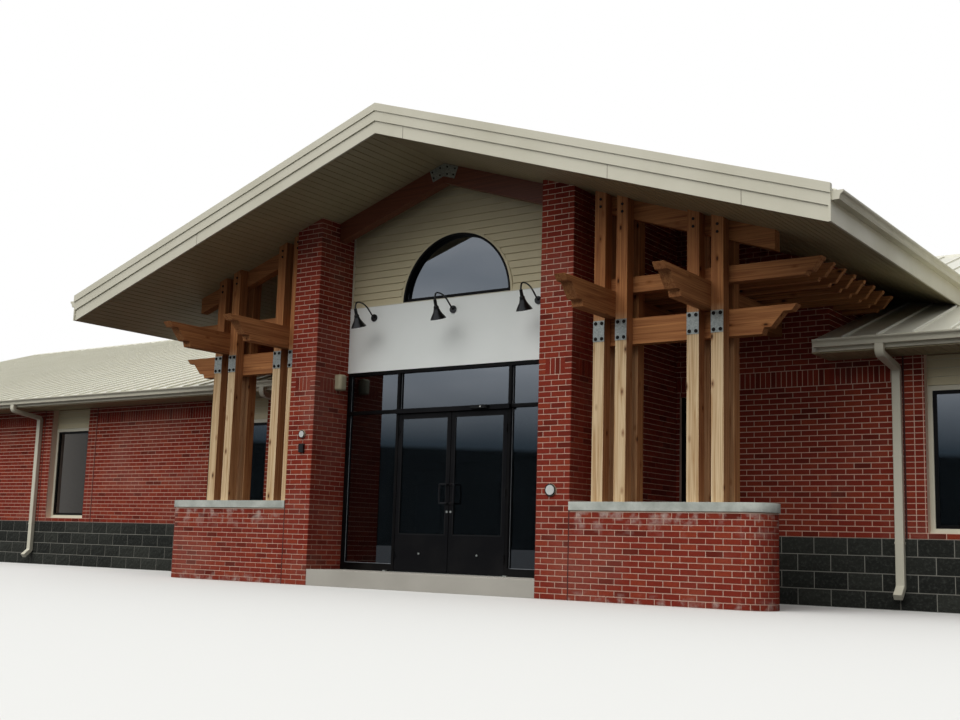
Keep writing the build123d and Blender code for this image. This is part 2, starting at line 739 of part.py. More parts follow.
# Small fittings on the piers: wall speaker, push plate, disc and box
speaker_size = (110, 150, 225)
speaker_round = 50
speaker_ease = 30
speaker_y = -205
speaker_z = 2802
plate_at = (2034, 1267)
disc_at = (-2014, 2041)
box_at = (-2009, 1850)
push_radius, push_thick = 75, 24
disc_radius, disc_thick = 55, 30
small_box_size = (85, 40, 120)
speaker = Box(*speaker_size)
speaker = fillet(speaker.edges().filter_by(Axis.Z).group_by(Axis.X)[-1], speaker_round)
rims = [e for end in (0, -1) for e in speaker.edges().group_by(Axis.Z)[end] if e.center().X > 0]
speaker = fillet(rims, speaker_ease)
speaker = Pos(speaker_size[0] / 2 - pier_inner, speaker_y, speaker_z) * speaker


def on_pier(x, z, thick):
    """Place of a fitting that lies flat on a pier's front."""
    return Pos(x, pier_front - thick / 2, z)


plate = on_pier(*plate_at, push_thick) * Rot(90, 0, 0) * Cylinder(push_radius, push_thick)
disc = on_pier(*disc_at, disc_thick) * Rot(90, 0, 0) * Cylinder(disc_radius, disc_thick)
small_box = on_pier(*box_at, small_box_size[1]) * Box(*small_box_size)
save("wall_fittings", speaker, plate, disc, small_box)
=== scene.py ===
import bpy
import bmesh
import json
import math
import random
from mathutils import Matrix, Vector


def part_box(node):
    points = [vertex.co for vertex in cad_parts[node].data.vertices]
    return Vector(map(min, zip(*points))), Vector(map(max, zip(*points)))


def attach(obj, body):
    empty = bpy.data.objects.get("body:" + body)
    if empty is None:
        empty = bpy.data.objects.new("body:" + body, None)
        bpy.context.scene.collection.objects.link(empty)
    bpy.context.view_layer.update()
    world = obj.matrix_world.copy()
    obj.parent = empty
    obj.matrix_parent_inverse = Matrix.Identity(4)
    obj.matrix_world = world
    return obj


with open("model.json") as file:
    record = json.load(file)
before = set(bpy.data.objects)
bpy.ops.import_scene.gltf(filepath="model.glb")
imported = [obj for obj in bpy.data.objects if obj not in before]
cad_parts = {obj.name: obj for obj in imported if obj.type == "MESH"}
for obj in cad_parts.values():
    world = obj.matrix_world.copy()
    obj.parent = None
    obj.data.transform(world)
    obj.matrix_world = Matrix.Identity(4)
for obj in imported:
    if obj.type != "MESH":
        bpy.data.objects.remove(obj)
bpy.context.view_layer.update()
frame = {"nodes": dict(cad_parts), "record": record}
nodes = frame["nodes"]
mm = 0.001
up = Vector((0, 0, 1))
print("frame loaded:", len(nodes), "nodes")


# small node and colour helpers

def colour(code):
    parts = [int(code[i:i + 2], 16) / 255 for i in (1, 3, 5)]  # sRGB hex to linear
    return tuple(c / 12.92 if c <= 0.04045 else ((c + 0.055) / 1.055) ** 2.4 for c in parts) + (1.0,)


def addNode(tree, kind, settings=None, links=None):
    node = tree.nodes.new("ShaderNode" + kind)
    for key, value in (settings or {}).items():
        if isinstance(key, str) and hasattr(node, key):
            setattr(node, key, value)
        else:
            node.inputs[key].default_value = value
    for key, source in (links or {}).items():
        tree.links.new(source, node.inputs[key])
    return node


def startFinish(name, shader):
    finish = bpy.data.materials.new(name)
    finish.use_nodes = True
    tree = finish.node_tree
    skin = tree.nodes["Principled BSDF"]
    for key, value in shader.items():
        skin.inputs[key].default_value = value
    place = addNode(tree, "TexCoord").outputs["Object"]  # metres, so a scale of 1 / size gives a real size
    return finish, tree, skin, {"Vector": place}


def blendColours(tree, share, first, second):  # each side is a hex code, a linear colour or a socket
    mix = addNode(tree, "Mix", {"data_type": "RGBA"}, {0: share})
    for index, value in ((6, first), (7, second)):
        if isinstance(value, bpy.types.NodeSocket):
            tree.links.new(value, mix.inputs[index])
        else:
            mix.inputs[index].default_value = colour(value) if isinstance(value, str) else value
    return mix.outputs[2]


def spread(tree, source, low, high, toLow=0.0, toHigh=1.0):
    limits = {"From Min": low, "From Max": high, "To Min": toLow, "To Max": toHigh}
    return addNode(tree, "MapRange", limits, {"Value": source}).outputs[0]


def roughen(tree, skin, height, depth, strength):
    bump = addNode(tree, "Bump", {"Strength": strength, "Distance": depth}, {"Height": height})
    tree.links.new(bump.outputs[0], skin.inputs["Normal"])


# finishes of the building

clay = {"red": "#833023", "plum": "#64241a", "orange": "#97402a", "wash": "#ab8272", "lime": "#b9a59a",
        "plumShare": 0.13, "grit": 2 * mm, "patch": 0.9, "blot": 0.12, "limeHead": 0.97, "limeFoot": 0.06}


def makeBrick(name, limed=False):  # extruded wire-cut clay brick: dead matt, fired a little unevenly
    finish, tree, skin, at = startFinish(name, {"Roughness": 0.9, "IOR": 1.5, "Specular IOR Level": 0.15})
    tone = addNode(tree, "Attribute", {"attribute_name": "tone"}).outputs["Fac"]
    dark = blendColours(tree, spread(tree, tone, 0.0, clay["plumShare"]), clay["plum"], clay["red"])
    fired = blendColours(tree, spread(tree, tone, 0.55, 1.0, 0.0, 0.75), dark, clay["orange"])
    cloud = addNode(tree, "TexNoise", {"Scale": 1 / clay["patch"], "Detail": 3.0}, at).outputs[0]
    body = blendColours(tree, spread(tree, cloud, 0.5, 0.75, 0.0, 0.25), fired, clay["wash"])
    if limed:  # salts washed out of the cap, and mortar smeared on the foot of a low wall
        level = addNode(tree, "SeparateXYZ", {}, at).outputs["Z"]
        blot = addNode(tree, "TexNoise", {"Scale": 1 / clay["blot"], "Detail": 6.0}, at).outputs[0]
        head = spread(tree, level, clay["limeHead"] - 0.25, clay["limeHead"])
        foot = spread(tree, level, 2 * clay["limeFoot"], clay["limeFoot"], 0.0, 0.8)
        both = addNode(tree, "Math", {"operation": "MAXIMUM"}, {0: head, 1: foot}).outputs[0]
        spots = spread(tree, blot, 0.5, 0.72)
        share = addNode(tree, "Math", {"operation": "MULTIPLY"}, {0: both, 1: spots}).outputs[0]
        body = blendColours(tree, share, body, clay["lime"])
    speck = addNode(tree, "TexNoise", {"Scale": 1 / (8 * clay["grit"]), "Detail": 5.0}, at).outputs[0]
    worn = blendColours(tree, spread(tree, speck, 0.45, 0.75, 0.0, 0.5), body, clay["plum"])
    tree.links.new(worn, skin.inputs["Base Color"])
    grit = addNode(tree, "TexNoise", {"Scale": 1 / clay["grit"], "Detail": 4.0}, at).outputs[0]
    roughen(tree, skin, grit, 1.2 * mm, 0.7)
    return finish


def makeMortar(name, dark, pale):  # tooled cement and lime mortar, sandy to the eye; also inside the walls
    finish, tree, skin, at = startFinish(name, {"Roughness": 0.95, "IOR": 1.5, "Specular IOR Level": 0.2})
    cloud = addNode(tree, "TexNoise", {"Scale": 1 / 0.4, "Detail": 5.0}, at).outputs[0]
    tree.links.new(blendColours(tree, cloud, dark, pale), skin.inputs["Base Color"])
    sand = addNode(tree, "TexNoise", {"Scale": 1 / (1.5 * mm), "Detail": 3.0}, at).outputs[0]
    roughen(tree, skin, sand, 0.8 * mm, 0.6)
    return finish


def makeBlock():  # split-face concrete block: broken stone face, dark integral pigment
    shader = {"Roughness": 0.95, "IOR": 1.5, "Specular IOR Level": 0.2}
    finish, tree, skin, at = startFinish("splitFaceBlock", shader)
    tone = addNode(tree, "Attribute", {"attribute_name": "tone"}).outputs["Fac"]
    rough = {"Scale": 1 / (35 * mm), "Detail": 8.0, "Roughness": 0.65}
    lump = addNode(tree, "TexNoise", rough, at).outputs[0]
    body = blendColours(tree, tone, "#262724", "#353631")
    flecked = blendColours(tree, spread(tree, lump, 0.5, 0.8, 0.0, 0.5), body, "#63655e")
    tree.links.new(flecked, skin.inputs["Base Color"])
    roughen(tree, skin, lump, 14 * mm, 0.8)
    return finish


def makePrecast():  # cast concrete coping: smooth, weathered in soft blotches with fine pores
    finish, tree, skin, at = startFinish("castConcrete", {"Roughness": 0.85, "IOR": 1.5})
    cloud = addNode(tree, "TexNoise", {"Scale": 1 / 0.25, "Detail": 6.0, "Roughness": 0.6}, at).outputs[0]
    pale = blendColours(tree, spread(tree, cloud, 0.35, 0.7), "#a3a79d", "#cdd0c6")
    pores = addNode(tree, "TexNoise", {"Scale": 1 / (6 * mm), "Detail": 2.0}, at).outputs[0]
    stained = blendColours(tree, spread(tree, pores, 0.6, 0.75, 0.0, 0.4), pale, "#7f8279")
    tree.links.new(stained, skin.inputs["Base Color"])
    roughen(tree, skin, pores, 1 * mm, 0.5)
    return finish


def makeFloorConcrete():  # broom-finished concrete slab: fine parallel brush lines
    finish, tree, skin, at = startFinish("broomedConcrete", {"Roughness": 0.9, "IOR": 1.5})
    cloud = addNode(tree, "TexNoise", {"Scale": 1 / 0.8, "Detail": 6.0}, at).outputs[0]
    tree.links.new(blendColours(tree, cloud, "#9c978c", "#c2bdb1"), skin.inputs["Base Color"])
    along = addNode(tree, "Mapping", {"Scale": (2, 1 / (3 * mm), 1)}, at).outputs[0]
    brush = addNode(tree, "TexNoise", {"Scale": 1.0, "Detail": 2.0}, {"Vector": along}).outputs[0]
    roughen(tree, skin, brush, 1 * mm, 0.5)
    return finish


def makePaintedSheet(name, code, rough, dust, wave):  # coil-coated sheet: baked paint, faint oil canning
    finish, tree, skin, at = startFinish(name, {"Roughness": rough, "IOR": 1.5})
    cloud = addNode(tree, "TexNoise", {"Scale": 1 / 0.7, "Detail": 5.0}, at).outputs[0]
    tree.links.new(blendColours(tree, spread(tree, cloud, 0.4, 0.75, 0.0, 0.5), code, dust),
                   skin.inputs["Base Color"])
    tree.links.new(spread(tree, cloud, 0.3, 0.7, rough - 0.06, rough + 0.08), skin.inputs["Roughness"])
    buckle = addNode(tree, "TexNoise", {"Scale": 1 / 0.35, "Detail": 1.0}, at).outputs[0]
    roughen(tree, skin, buckle, wave, 0.5)
    return finish


def makeAnodised(name, code, rough):  # dark bronze anodised aluminium: drawn section, thin satin skin
    shader = {"Roughness": rough, "Metallic": 0.3, "Specular IOR Level": 0.2}
    finish, tree, skin, at = startFinish(name, shader)
    drawn = addNode(tree, "Mapping", {"Scale": (1 / (4 * mm), 1 / (4 * mm), 1.5)}, at).outputs[0]
    lines = addNode(tree, "TexNoise", {"Scale": 1.0, "Detail": 2.0}, {"Vector": drawn}).outputs[0]
    cloud = addNode(tree, "TexNoise", {"Scale": 1 / 0.5, "Detail": 4.0}, at).outputs[0]
    rubbed = blendColours(tree, spread(tree, cloud, 0.45, 0.8, 0.0, 0.35), code, "#2c2a28")
    tree.links.new(rubbed, skin.inputs["Base Color"])
    roughen(tree, skin, lines, 0.1 * mm, 0.4)
    return finish


def makeGlass():  # double glazing, grey tint: one slab stands for its four faces, so the IOR is raised
    finish, tree, skin, at = startFinish("tintedGlazing", {
        "Roughness": 0.0, "IOR": 2.8, "Transmission Weight": 1.0, "Base Color": colour("#2c3236"),
        "Specular Tint": colour("#e2ebf3")})
    roller = addNode(tree, "TexNoise", {"Scale": 1 / 0.6, "Detail": 1.0}, at).outputs[0]
    roughen(tree, skin, roller, 0.6 * mm, 0.25)
    return finish


wood = {"heart": "#7b462a", "sap": "#c28653", "pale": "#e0c8a0", "bleach": "#ad8557", "knot": "#33190c",
        "halo": "#7e4722", "ring": 7 * mm, "streak": 26 * mm, "knotStep": 0.3, "bleachTop": 3.35,
        "frontRow": -0.4}


def makeTimber(name, axis, weatheredAndLit=False):  # rough-sawn softwood: streaked grain and knots
    finish, tree, skin, at = startFinish(name, {"Roughness": 0.8, "IOR": 1.5, "Specular IOR Level": 0.25})

    def drawnOut(along, across):  # texture space stretched along the grain
        scale = tuple(along if i == axis else across for i in range(3))
        return {"Vector": addNode(tree, "Mapping", {"Scale": scale}, at).outputs[0]}

    fine = {"Scale": 1.0, "Detail": 6.0, "Distortion": 0.6}
    grain = addNode(tree, "TexNoise", fine, drawnOut(0.6, 1 / wood["ring"])).outputs[0]
    broad = {"Scale": 1.0, "Detail": 3.0, "Distortion": 1.2}
    streak = addNode(tree, "TexNoise", broad, drawnOut(0.9, 1 / wood["streak"])).outputs[0]
    both = addNode(tree, "Math", {"operation": "MULTIPLY_ADD", 1: 0.45}, {0: grain, 2: streak}).outputs[0]
    body = blendColours(tree, spread(tree, both, 0.42, 0.98), wood["heart"], wood["sap"])
    if weatheredAndLit:  # rain bleaches the foot of the front row; the extra paleness of forward faces is painted light, and the back row is kept darker as painted shade
        place = addNode(tree, "SeparateXYZ", {}, at)
        normal = addNode(tree, "NewGeometry").outputs["Normal"]
        facing = addNode(tree, "SeparateXYZ", {}, {"Vector": normal}).outputs["Y"]
        low = spread(tree, place.outputs["Z"], wood["bleachTop"], wood["bleachTop"] - 0.3, 0.0, 0.9)
        # partly rain shelter, partly painted shade: the back row gets less of the pale blend
        row = spread(tree, place.outputs["Y"], wood["frontRow"] + 0.02, wood["frontRow"] - 0.02, 0.3, 1.0)
        # partly rain weathering, partly painted light: faces that look forward get more of the pale blend
        rainAndLightByFacing = spread(tree, facing, -0.5, -0.9, 0.12, 1.0)
        exposedAndLit = addNode(tree, "Math", {"operation": "MULTIPLY"}, {0: rainAndLightByFacing, 1: row}).outputs[0]
        share = addNode(tree, "Math", {"operation": "MULTIPLY"}, {0: low, 1: exposedAndLit}).outputs[0]
        worn = blendColours(tree, spread(tree, both, 0.5, 0.85), wood["bleach"], wood["pale"])
        body = blendColours(tree, share, body, worn)
    knots = addNode(tree, "TexVoronoi", {"Scale": 2 / wood["knotStep"]}, drawnOut(0.45, 1.0)).outputs[0]
    ringed = blendColours(tree, spread(tree, knots, 0.2, 0.1, 0.0, 0.6), body, wood["halo"])
    spotted = blendColours(tree, spread(tree, knots, 0.1, 0.06, 0.0, 0.9), ringed, wood["knot"])
    tree.links.new(spotted, skin.inputs["Base Color"])
    roughen(tree, skin, both, 2 * mm, 0.6)
    return finish


def makeStained():  # glued laminated fir, brown stain: grain drawn along the beam, a satin sheen
    finish, tree, skin, at = startFinish("stainedGlulam", {"Roughness": 0.5, "IOR": 1.5})
    along = addNode(tree, "Mapping", {"Scale": (0.8, 120.0, 120.0)}, at).outputs[0]
    grain = addNode(tree, "TexNoise", {"Scale": 1.0, "Detail": 5.0}, {"Vector": along}).outputs[0]
    tree.links.new(blendColours(tree, spread(tree, grain, 0.3, 0.7), "#5c2f1e", "#86492e"),
                   skin.inputs["Base Color"])
    roughen(tree, skin, grain, 0.8 * mm, 0.5)
    return finish


def makeGalvanised():  # hot-dip galvanised steel plate: grey spangle, dull metal
    finish, tree, skin, at = startFinish("galvanisedSteel", {"Metallic": 0.85, "Roughness": 0.5})
    spangle = addNode(tree, "TexVoronoi", {"Scale": 1 / (14 * mm)}, at).outputs["Color"]
    share = addNode(tree, "SeparateColor", {}, {"Color": spangle}).outputs[0]
    tree.links.new(blendColours(tree, share, "#999e98", "#c2c7c0"), skin.inputs["Base Color"])
    tree.links.new(spread(tree, share, 0.0, 1.0, 0.4, 0.6), skin.inputs["Roughness"])
    return finish


def makePlain(name, code, rough, metal=0.0):  # moulded plastic, rubber or plated steel, with a faint mottle
    finish, tree, skin, at = startFinish(name, {"Roughness": rough, "Metallic": metal})
    mottle = addNode(tree, "TexNoise", {"Scale": 1 / (30 * mm), "Detail": 4.0}, at).outputs[0]
    darker = tuple(0.75 * c for c in colour(code)[:3]) + (1.0,)
    tree.links.new(blendColours(tree, mottle, code, darker), skin.inputs["Base Color"])
    grain = addNode(tree, "TexNoise", {"Scale": 1 / (1.5 * mm), "Detail": 2.0}, at).outputs[0]
    roughen(tree, skin, grain, 0.2 * mm, 0.4)
    return finish


brickFinish = makeBrick("wireCutBrick")
lowBrickFinish = makeBrick("wireCutBrickLimed", True)
mortarFinish = makeMortar("sandMortar", "#cbaa95", "#e9cdb9")
greyMortar = makeMortar("greyMortar", "#77756c", "#a3a096")
blockFinish = makeBlock()
timberX = makeTimber("roughSawnAcross", 0)
timberY = makeTimber("roughSawnForward", 1)
timberZ = makeTimber("roughSawnPost", 2, True)
trimFinish = makePaintedSheet("tanTrimSheet", "#d6d1bc", 0.45, "#c3bea7", 1.5 * mm)
sidingFinish = makePaintedSheet("tanSiding", "#cdc29f", 0.5, "#bdb28f", 0.8 * mm)
soffitFinish = makePaintedSheet("tanSoffit", "#a69a78", 0.5, "#958a69", 0.8 * mm)
roofFinish = makePaintedSheet("creamRoofSheet", "#d8d5c4", 0.4, "#ccc9b7", 2.5 * mm)
# the seams are the roof's own sheet; their paler colour is painted light, standing for the light caught by
# the seam sides and tops
seamFinishPaintedLight = makePaintedSheet("rubbedSeamSheet", "#f1efe3", 0.4, "#e6e3d5", 1 * mm)
signFinish = makePaintedSheet("paleSignSheet", "#f0f3ed", 0.35, "#e6eae3", 1 * mm)
bronzeFinish = makeAnodised("bronzeAnodised", "#0b0a0a", 0.42)
doorFinish = makeAnodised("doorBronze", "#0e0e10", 0.4)
pullFinish = makePlain("blackPull", "#2c2c2e", 0.28, 0.6)
glassFinish = makeGlass()
steelFinish = makeGalvanised()
boltFinish = makePlain("boltSteel", "#2b2724", 0.5, 0.7)
lampFinish = makePlain("blackEnamel", "#101010", 0.3)
fittingFinish = makePlain("tanPlastic", "#b9b092", 0.55)
sealFinish = makePlain("darkSealant", "#4a2a26", 0.8)
rubberFinish = makePlain("blackGasket", "#0c0c0c", 0.7)
# painted highlight: pale strips round the fixed panes stand for the light on the glazing beads
beadHighlightFinish = makePlain("greyTape", "#8d9194", 0.5)
lensFinish = makePlain("paleLens", "#d8dad4", 0.3)

finishes = {"concrete": makeFloorConcrete(), "block": greyMortar, "brick": mortarFinish,
            "siding": sidingFinish, "precast": makePrecast(), "sign": signFinish,
            "bronze_frame": bronzeFinish, "glazing": glassFinish, "door_pull": pullFinish,
            "timber": timberX, "galvanised": steelFinish, "stained_glulam": makeStained(),
            "standing_seam": roofFinish, "soffit_metal": soffitFinish, "tan_metal": trimFinish,
            "black_metal": lampFinish, "fitting_plastic": fittingFinish}
byNode = {"timber_posts": timberZ, "projecting_beams": timberY, "left_door_leaf": doorFinish,
          "right_door_leaf": doorFinish, "door_header": doorFinish, "window_panels": trimFinish}
for row in frame["record"]["subparts"]:
    data = nodes[row["node"]].data
    data.materials.clear()
    data.materials.append(byNode.get(row["node"], finishes[row["material_slot"]]))
print("finishes made:", len(bpy.data.materials))

# worked edges: most CAD pieces get the small round that their trade leaves
edgeRound = {"timber": 4 * mm, "stained_glulam": 3 * mm, "precast": 18 * mm, "concrete": 6 * mm, "brick": 0,
             "block": 0, "glazing": 0, "standing_seam": 0, "door_pull": 0, "black_metal": 0,
             "other": 1.5 * mm}
for row in frame["record"]["subparts"]:
    wide = edgeRound.get(row["material_slot"], edgeRound["other"])
    if wide:
        node = nodes[row["node"]]
        node.modifiers.new("joined", "WELD").merge_threshold = 0.01 * mm
        rounding = node.modifiers.new("eased", "BEVEL")
        rounding.width = wide
        rounding.segments = 2
        rounding.limit_method = "ANGLE"
        rounding.angle_limit = math.radians(40)


# what the frame says of the building

def partsOf(name):  # lowest and highest corner of each separate solid in a node
    mesh = bmesh.new()
    mesh.from_mesh(nodes[name].data)
    bmesh.ops.remove_doubles(mesh, verts=mesh.verts, dist=0.01 * mm)
    seen = set()
    boxes = []
    for first in mesh.verts:
        if first in seen:
            continue
        seen.add(first)
        group = [first]
        for vertex in group:
            for edge in vertex.link_edges:
                other = edge.other_vert(vertex)
                if other not in seen:
                    seen.add(other)
                    group.append(other)
        boxes.append((Vector([min(v.co[i] for v in group) for i in range(3)]),
                      Vector([max(v.co[i] for v in group) for i in range(3)])))
    mesh.free()
    return sorted(boxes, key=lambda b: (round(b[0].x, 3), round(b[0].y, 3), round(b[0].z, 3)))


roofPitch = 0.33
mainLeft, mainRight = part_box("main_roof_left"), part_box("main_roof_right")
ridgeY, ridgeZ = mainLeft[1].y, mainLeft[1].z
eaveY = mainLeft[0].y
raisedLeft, raisedRight = mainLeft[1].x, mainRight[0].x
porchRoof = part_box("entry_roof")
porchHalf = porchRoof[1].x
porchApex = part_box("entry_gable_wall")[1].z
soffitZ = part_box("main_soffit")[0].z
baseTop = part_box("block_base")[1].z
frontWalls = (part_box("front_left_wall"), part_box("front_right_wall"))
frontY = frontWalls[0][0].y
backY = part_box("back_wall")[1].y
leftX, rightX = frontWalls[0][0].x, frontWalls[1][1].x
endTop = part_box("left_end_wall")[1].z
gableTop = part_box("end_gables")[1].z
units = partsOf("window_panels")


def mainTop(y):
    return ridgeZ - roofPitch * abs(ridgeY - y)


def porchTop(x):
    return porchRoof[1].z - roofPitch * abs(x)


def porchUnder(x):
    return porchApex - roofPitch * abs(x)


def refinish(name, finish, wanted):  # some faces of a node get a finish of their own
    data = nodes[name].data
    data.materials.append(finish)
    for face in data.polygons:
        if wanted(face):
            face.material_index = 1


for name in ("main_roof_left", "main_roof_right", "main_roof_back"):  # board along each gable end
    refinish(name, trimFinish, lambda face: abs(face.normal.x) > 0.9)
junctionBox = {"right": -1.9, "top": 1.95}  # under the disc on the left pier
refinish("wall_fittings", lampFinish,
         lambda face: face.center.x < junctionBox["right"] and face.center.z < junctionBox["top"])


# shapes are collected in a store and then made into one mesh

def newStore():
    return {"points": [], "faces": [], "tones": []}


def flatFace(out, offset):  # a plain wall: u runs to the right as seen from outside, v is the height
    out = Vector(out)
    along = up.cross(out)
    return lambda u, v, d: out * (offset + d) + along * u + up * v


def rect(u0, u1, v0, v1):
    return [(u0, v0), (u1, v0), (u1, v1), (u0, v1)]


def circle(u, v, radius, sides, turn=0.0):
    angles = [turn + 2 * math.pi * i / sides for i in range(sides)]
    return [(u + radius * math.cos(a), v + radius * math.sin(a)) for a in angles]


def addSolid(store, rings, tone=0.5):  # closed solid through rings of equal length, capped at both ends
    count = len(rings[0])
    first = len(store["points"])
    for ring in rings:
        store["points"] += [tuple(p) for p in ring]
    start = len(store["faces"])
    store["faces"].append([first + i for i in reversed(range(count))])
    for k in range(len(rings) - 1):
        for i in range(count):
            a, b = first + k * count + i, first + k * count + (i + 1) % count
            store["faces"].append([a, b, b + count, a + count])
    last = first + (len(rings) - 1) * count
    store["faces"].append([last + i for i in range(count)])
    store["tones"] += [tone] * (len(store["faces"]) - start)


def addSlab(store, place, outline, back, front, tone=0.5):  # outline in u and v, from one depth to another
    addSolid(store, [[place(u, v, depth) for u, v in outline] for depth in (back, front)], tone)


def addBar(store, low, high):  # block between two corners
    corners = rect(low[0], high[0], low[1], high[1])
    addSolid(store, [[(x, y, z) for x, y in corners] for z in (low[2], high[2])])


def makePiece(name, store, finish, body="building"):
    mesh = bpy.data.meshes.new(name)
    mesh.from_pydata(store["points"], [], store["faces"])
    tone = mesh.attributes.new("tone", "FLOAT", "FACE")
    tone.data.foreach_set("value", store["tones"])
    fixer = bmesh.new()
    fixer.from_mesh(mesh)
    bmesh.ops.recalc_face_normals(fixer, faces=fixer.faces)
    fixer.to_mesh(mesh)
    fixer.free()
    mesh.materials.append(finish)
    piece = bpy.data.objects.new(name, mesh)
    bpy.context.scene.collection.objects.link(piece)
    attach(piece, body)
    print("piece", name, len(mesh.polygons), "faces")


# brickwork: courses of real bricks standing proud of the mortar

bricks = {"module": 203.2 * mm, "course": 203.2 / 3 * mm, "joint": 10 * mm, "proud": 5 * mm, "sunk": 3 * mm,
          "uneven": 0.8 * mm, "smallest": 14 * mm, "bandFrom": 39, "bandCourses": 3, "control": 229 * mm,
          "controlWide": 22 * mm, "stackExtra": 3 * mm}
bandRows = (bricks["bandFrom"], bricks["bandFrom"] + bricks["bandCourses"])
dice = random.Random(7)


def clipHalf(outline, a, b, c):  # keeps the part of an outline where a*u + b*v <= c
    kept = []
    for i, p in enumerate(outline):
        q = outline[(i + 1) % len(outline)]
        dp, dq = a * p[0] + b * p[1] - c, a * q[0] + b * q[1] - c
        if dp <= 0:
            kept.append(p)
        if (dp < 0 < dq) or (dq < 0 < dp):
            t = dp / (dp - dq)
            kept.append((p[0] + t * (q[0] - p[0]), p[1] + t * (q[1] - p[1])))
    return kept


def cutHoles(tile, holes):  # what is left of a rectangle round some rectangular openings
    left = [tile]
    for a0, a1, b0, b1 in holes:
        rest = []
        for u0, u1, v0, v1 in left:
            if u1 <= a0 or u0 >= a1 or v1 <= b0 or v0 >= b1:
                rest.append((u0, u1, v0, v1))
                continue
            rest += [(u0, min(u1, a0), v0, v1), (max(u0, a1), u1, v0, v1)]
            middle = (max(u0, a0), min(u1, a1))
            rest += [(*middle, v0, min(v1, b0)), (*middle, max(v0, b1), v1)]
        left = [r for r in rest if r[1] - r[0] > bricks["smallest"] and r[3] - r[2] > bricks["smallest"]]
    return left


def layTile(store, place, zone, tile, holes, cuts):
    sliver = 0.75 * bricks["joint"]  # no sliver of mortar at a corner
    u0, u1, v0, v1 = tile
    u0 = zone[0] if u0 - zone[0] < sliver else u0
    u1 = zone[1] if zone[1] - u1 < sliver else u1
    tile = (max(u0, zone[0]), min(u1, zone[1]), max(v0, zone[2]), min(v1, zone[3]))
    if tile[1] - tile[0] < bricks["smallest"] or tile[3] - tile[2] < bricks["smallest"]:
        return
    tone = dice.random()
    depth = bricks["proud"] + dice.uniform(-1, 0) * bricks["uneven"]
    for piece in cutHoles(tile, holes):
        outline = rect(*piece)
        for cut in cuts:
            outline = clipHalf(outline, *cut) if outline else outline
        if len(outline) > 2:
            addSlab(store, place, outline, -bricks["sunk"], depth, tone)


def layCourses(store, place, zone, bond=0, holes=(), cuts=(), stack=False):
    course, module, half = bricks["course"], bricks["module"], bricks["joint"] / 2
    step = module / 2 + bricks["stackExtra"] if stack else module
    phase = ((zone[1] - zone[0] - module / 2) % module) / 2
    for n in range(math.floor(zone[2] / course + 0.2), math.ceil(zone[3] / course)):
        v0, v1 = n * course + half, (n + 1) * course - half
        if v1 < zone[2] or v0 > zone[3]:
            continue
        u = zone[0]
        if not stack:
            u += phase + (module / 2 if (n + bond) % 2 else 0.0) - module
        while u < zone[1]:
            layTile(store, place, zone, (u + half, u + step - half, v0, v1), holes, cuts)
            u += step


def laySoldiers(store, place, zone, holes=(), cuts=()):  # bricks on end, one course module wide each
    count = max(1, round((zone[1] - zone[0]) / bricks["course"]))
    step = (zone[1] - zone[0]) / count
    half = bricks["joint"] / 2
    for i in range(count):
        u = zone[0] + i * step
        tile = (u + half, u + step - half, zone[2] + half, zone[3] - half)
        layTile(store, place, zone, tile, holes, cuts)


def splitByBand(zone):  # under the soldier band, the band itself, over it
    left, right, bottom, top = zone
    low, high = (n * bricks["course"] for n in bandRows)
    return (left, right, bottom, low), (left, right, low, high), (left, right, high, top)


def layBanded(store, place, zone, holes=(), cuts=()):
    under, middle, over = splitByBand(zone)
    layCourses(store, place, under, holes=holes, cuts=cuts)
    laySoldiers(store, place, middle, holes, cuts)
    layCourses(store, place, over, holes=holes, cuts=cuts)


joints = newStore()  # sealant in the control joints


def fieldWall(store, out, offset, span, top, windows):  # wing wall with jamb stacks beside its windows
    place = flatFace(out, offset)
    edge, gap = bricks["control"], bricks["controlWide"]
    stops = [span[0]]
    for left, right, low, high in sorted(windows):
        stops += [left - edge, right + edge]
    stops.append(span[1])
    for k in range(0, len(stops), 2):
        start = stops[k] + (gap if k > 0 else 0.0)
        end = stops[k + 1] - (gap if k < len(stops) - 2 else 0.0)
        if end - start >= bricks["smallest"]:
            layBanded(store, place, (start, end, baseTop, top))
    for left, right, low, high in windows:
        for side in ((left - edge, left), (right, right + edge)):
            layCourses(store, place, (*side, low, top), stack=True)
        layCourses(store, place, (left - edge, right + edge, baseTop, low))
        if high < top - bricks["smallest"]:
            layCourses(store, place, (left, right, high, top), bond=1)
        for u in (left - edge - gap, right + edge):
            addSlab(joints, place, rect(u, u + gap, baseTop, top), -bricks["sunk"], 1.5 * mm)


def unitsOn(axis, value):  # window units in a wall, by the coordinate of its outer face
    reach = 0.35
    return [(low, high) for low, high in units if abs((low[axis] + high[axis]) / 2 - value) < reach]


frontUnits, backUnits = unitsOn(1, frontY), unitsOn(1, backY)
tallUnits = [unit for unit in frontUnits if unit[1].z > soffitZ - 0.05]
cornerUnit = [unit for unit in frontUnits if unit not in tallUnits][0]  # the narrow one beside the entry

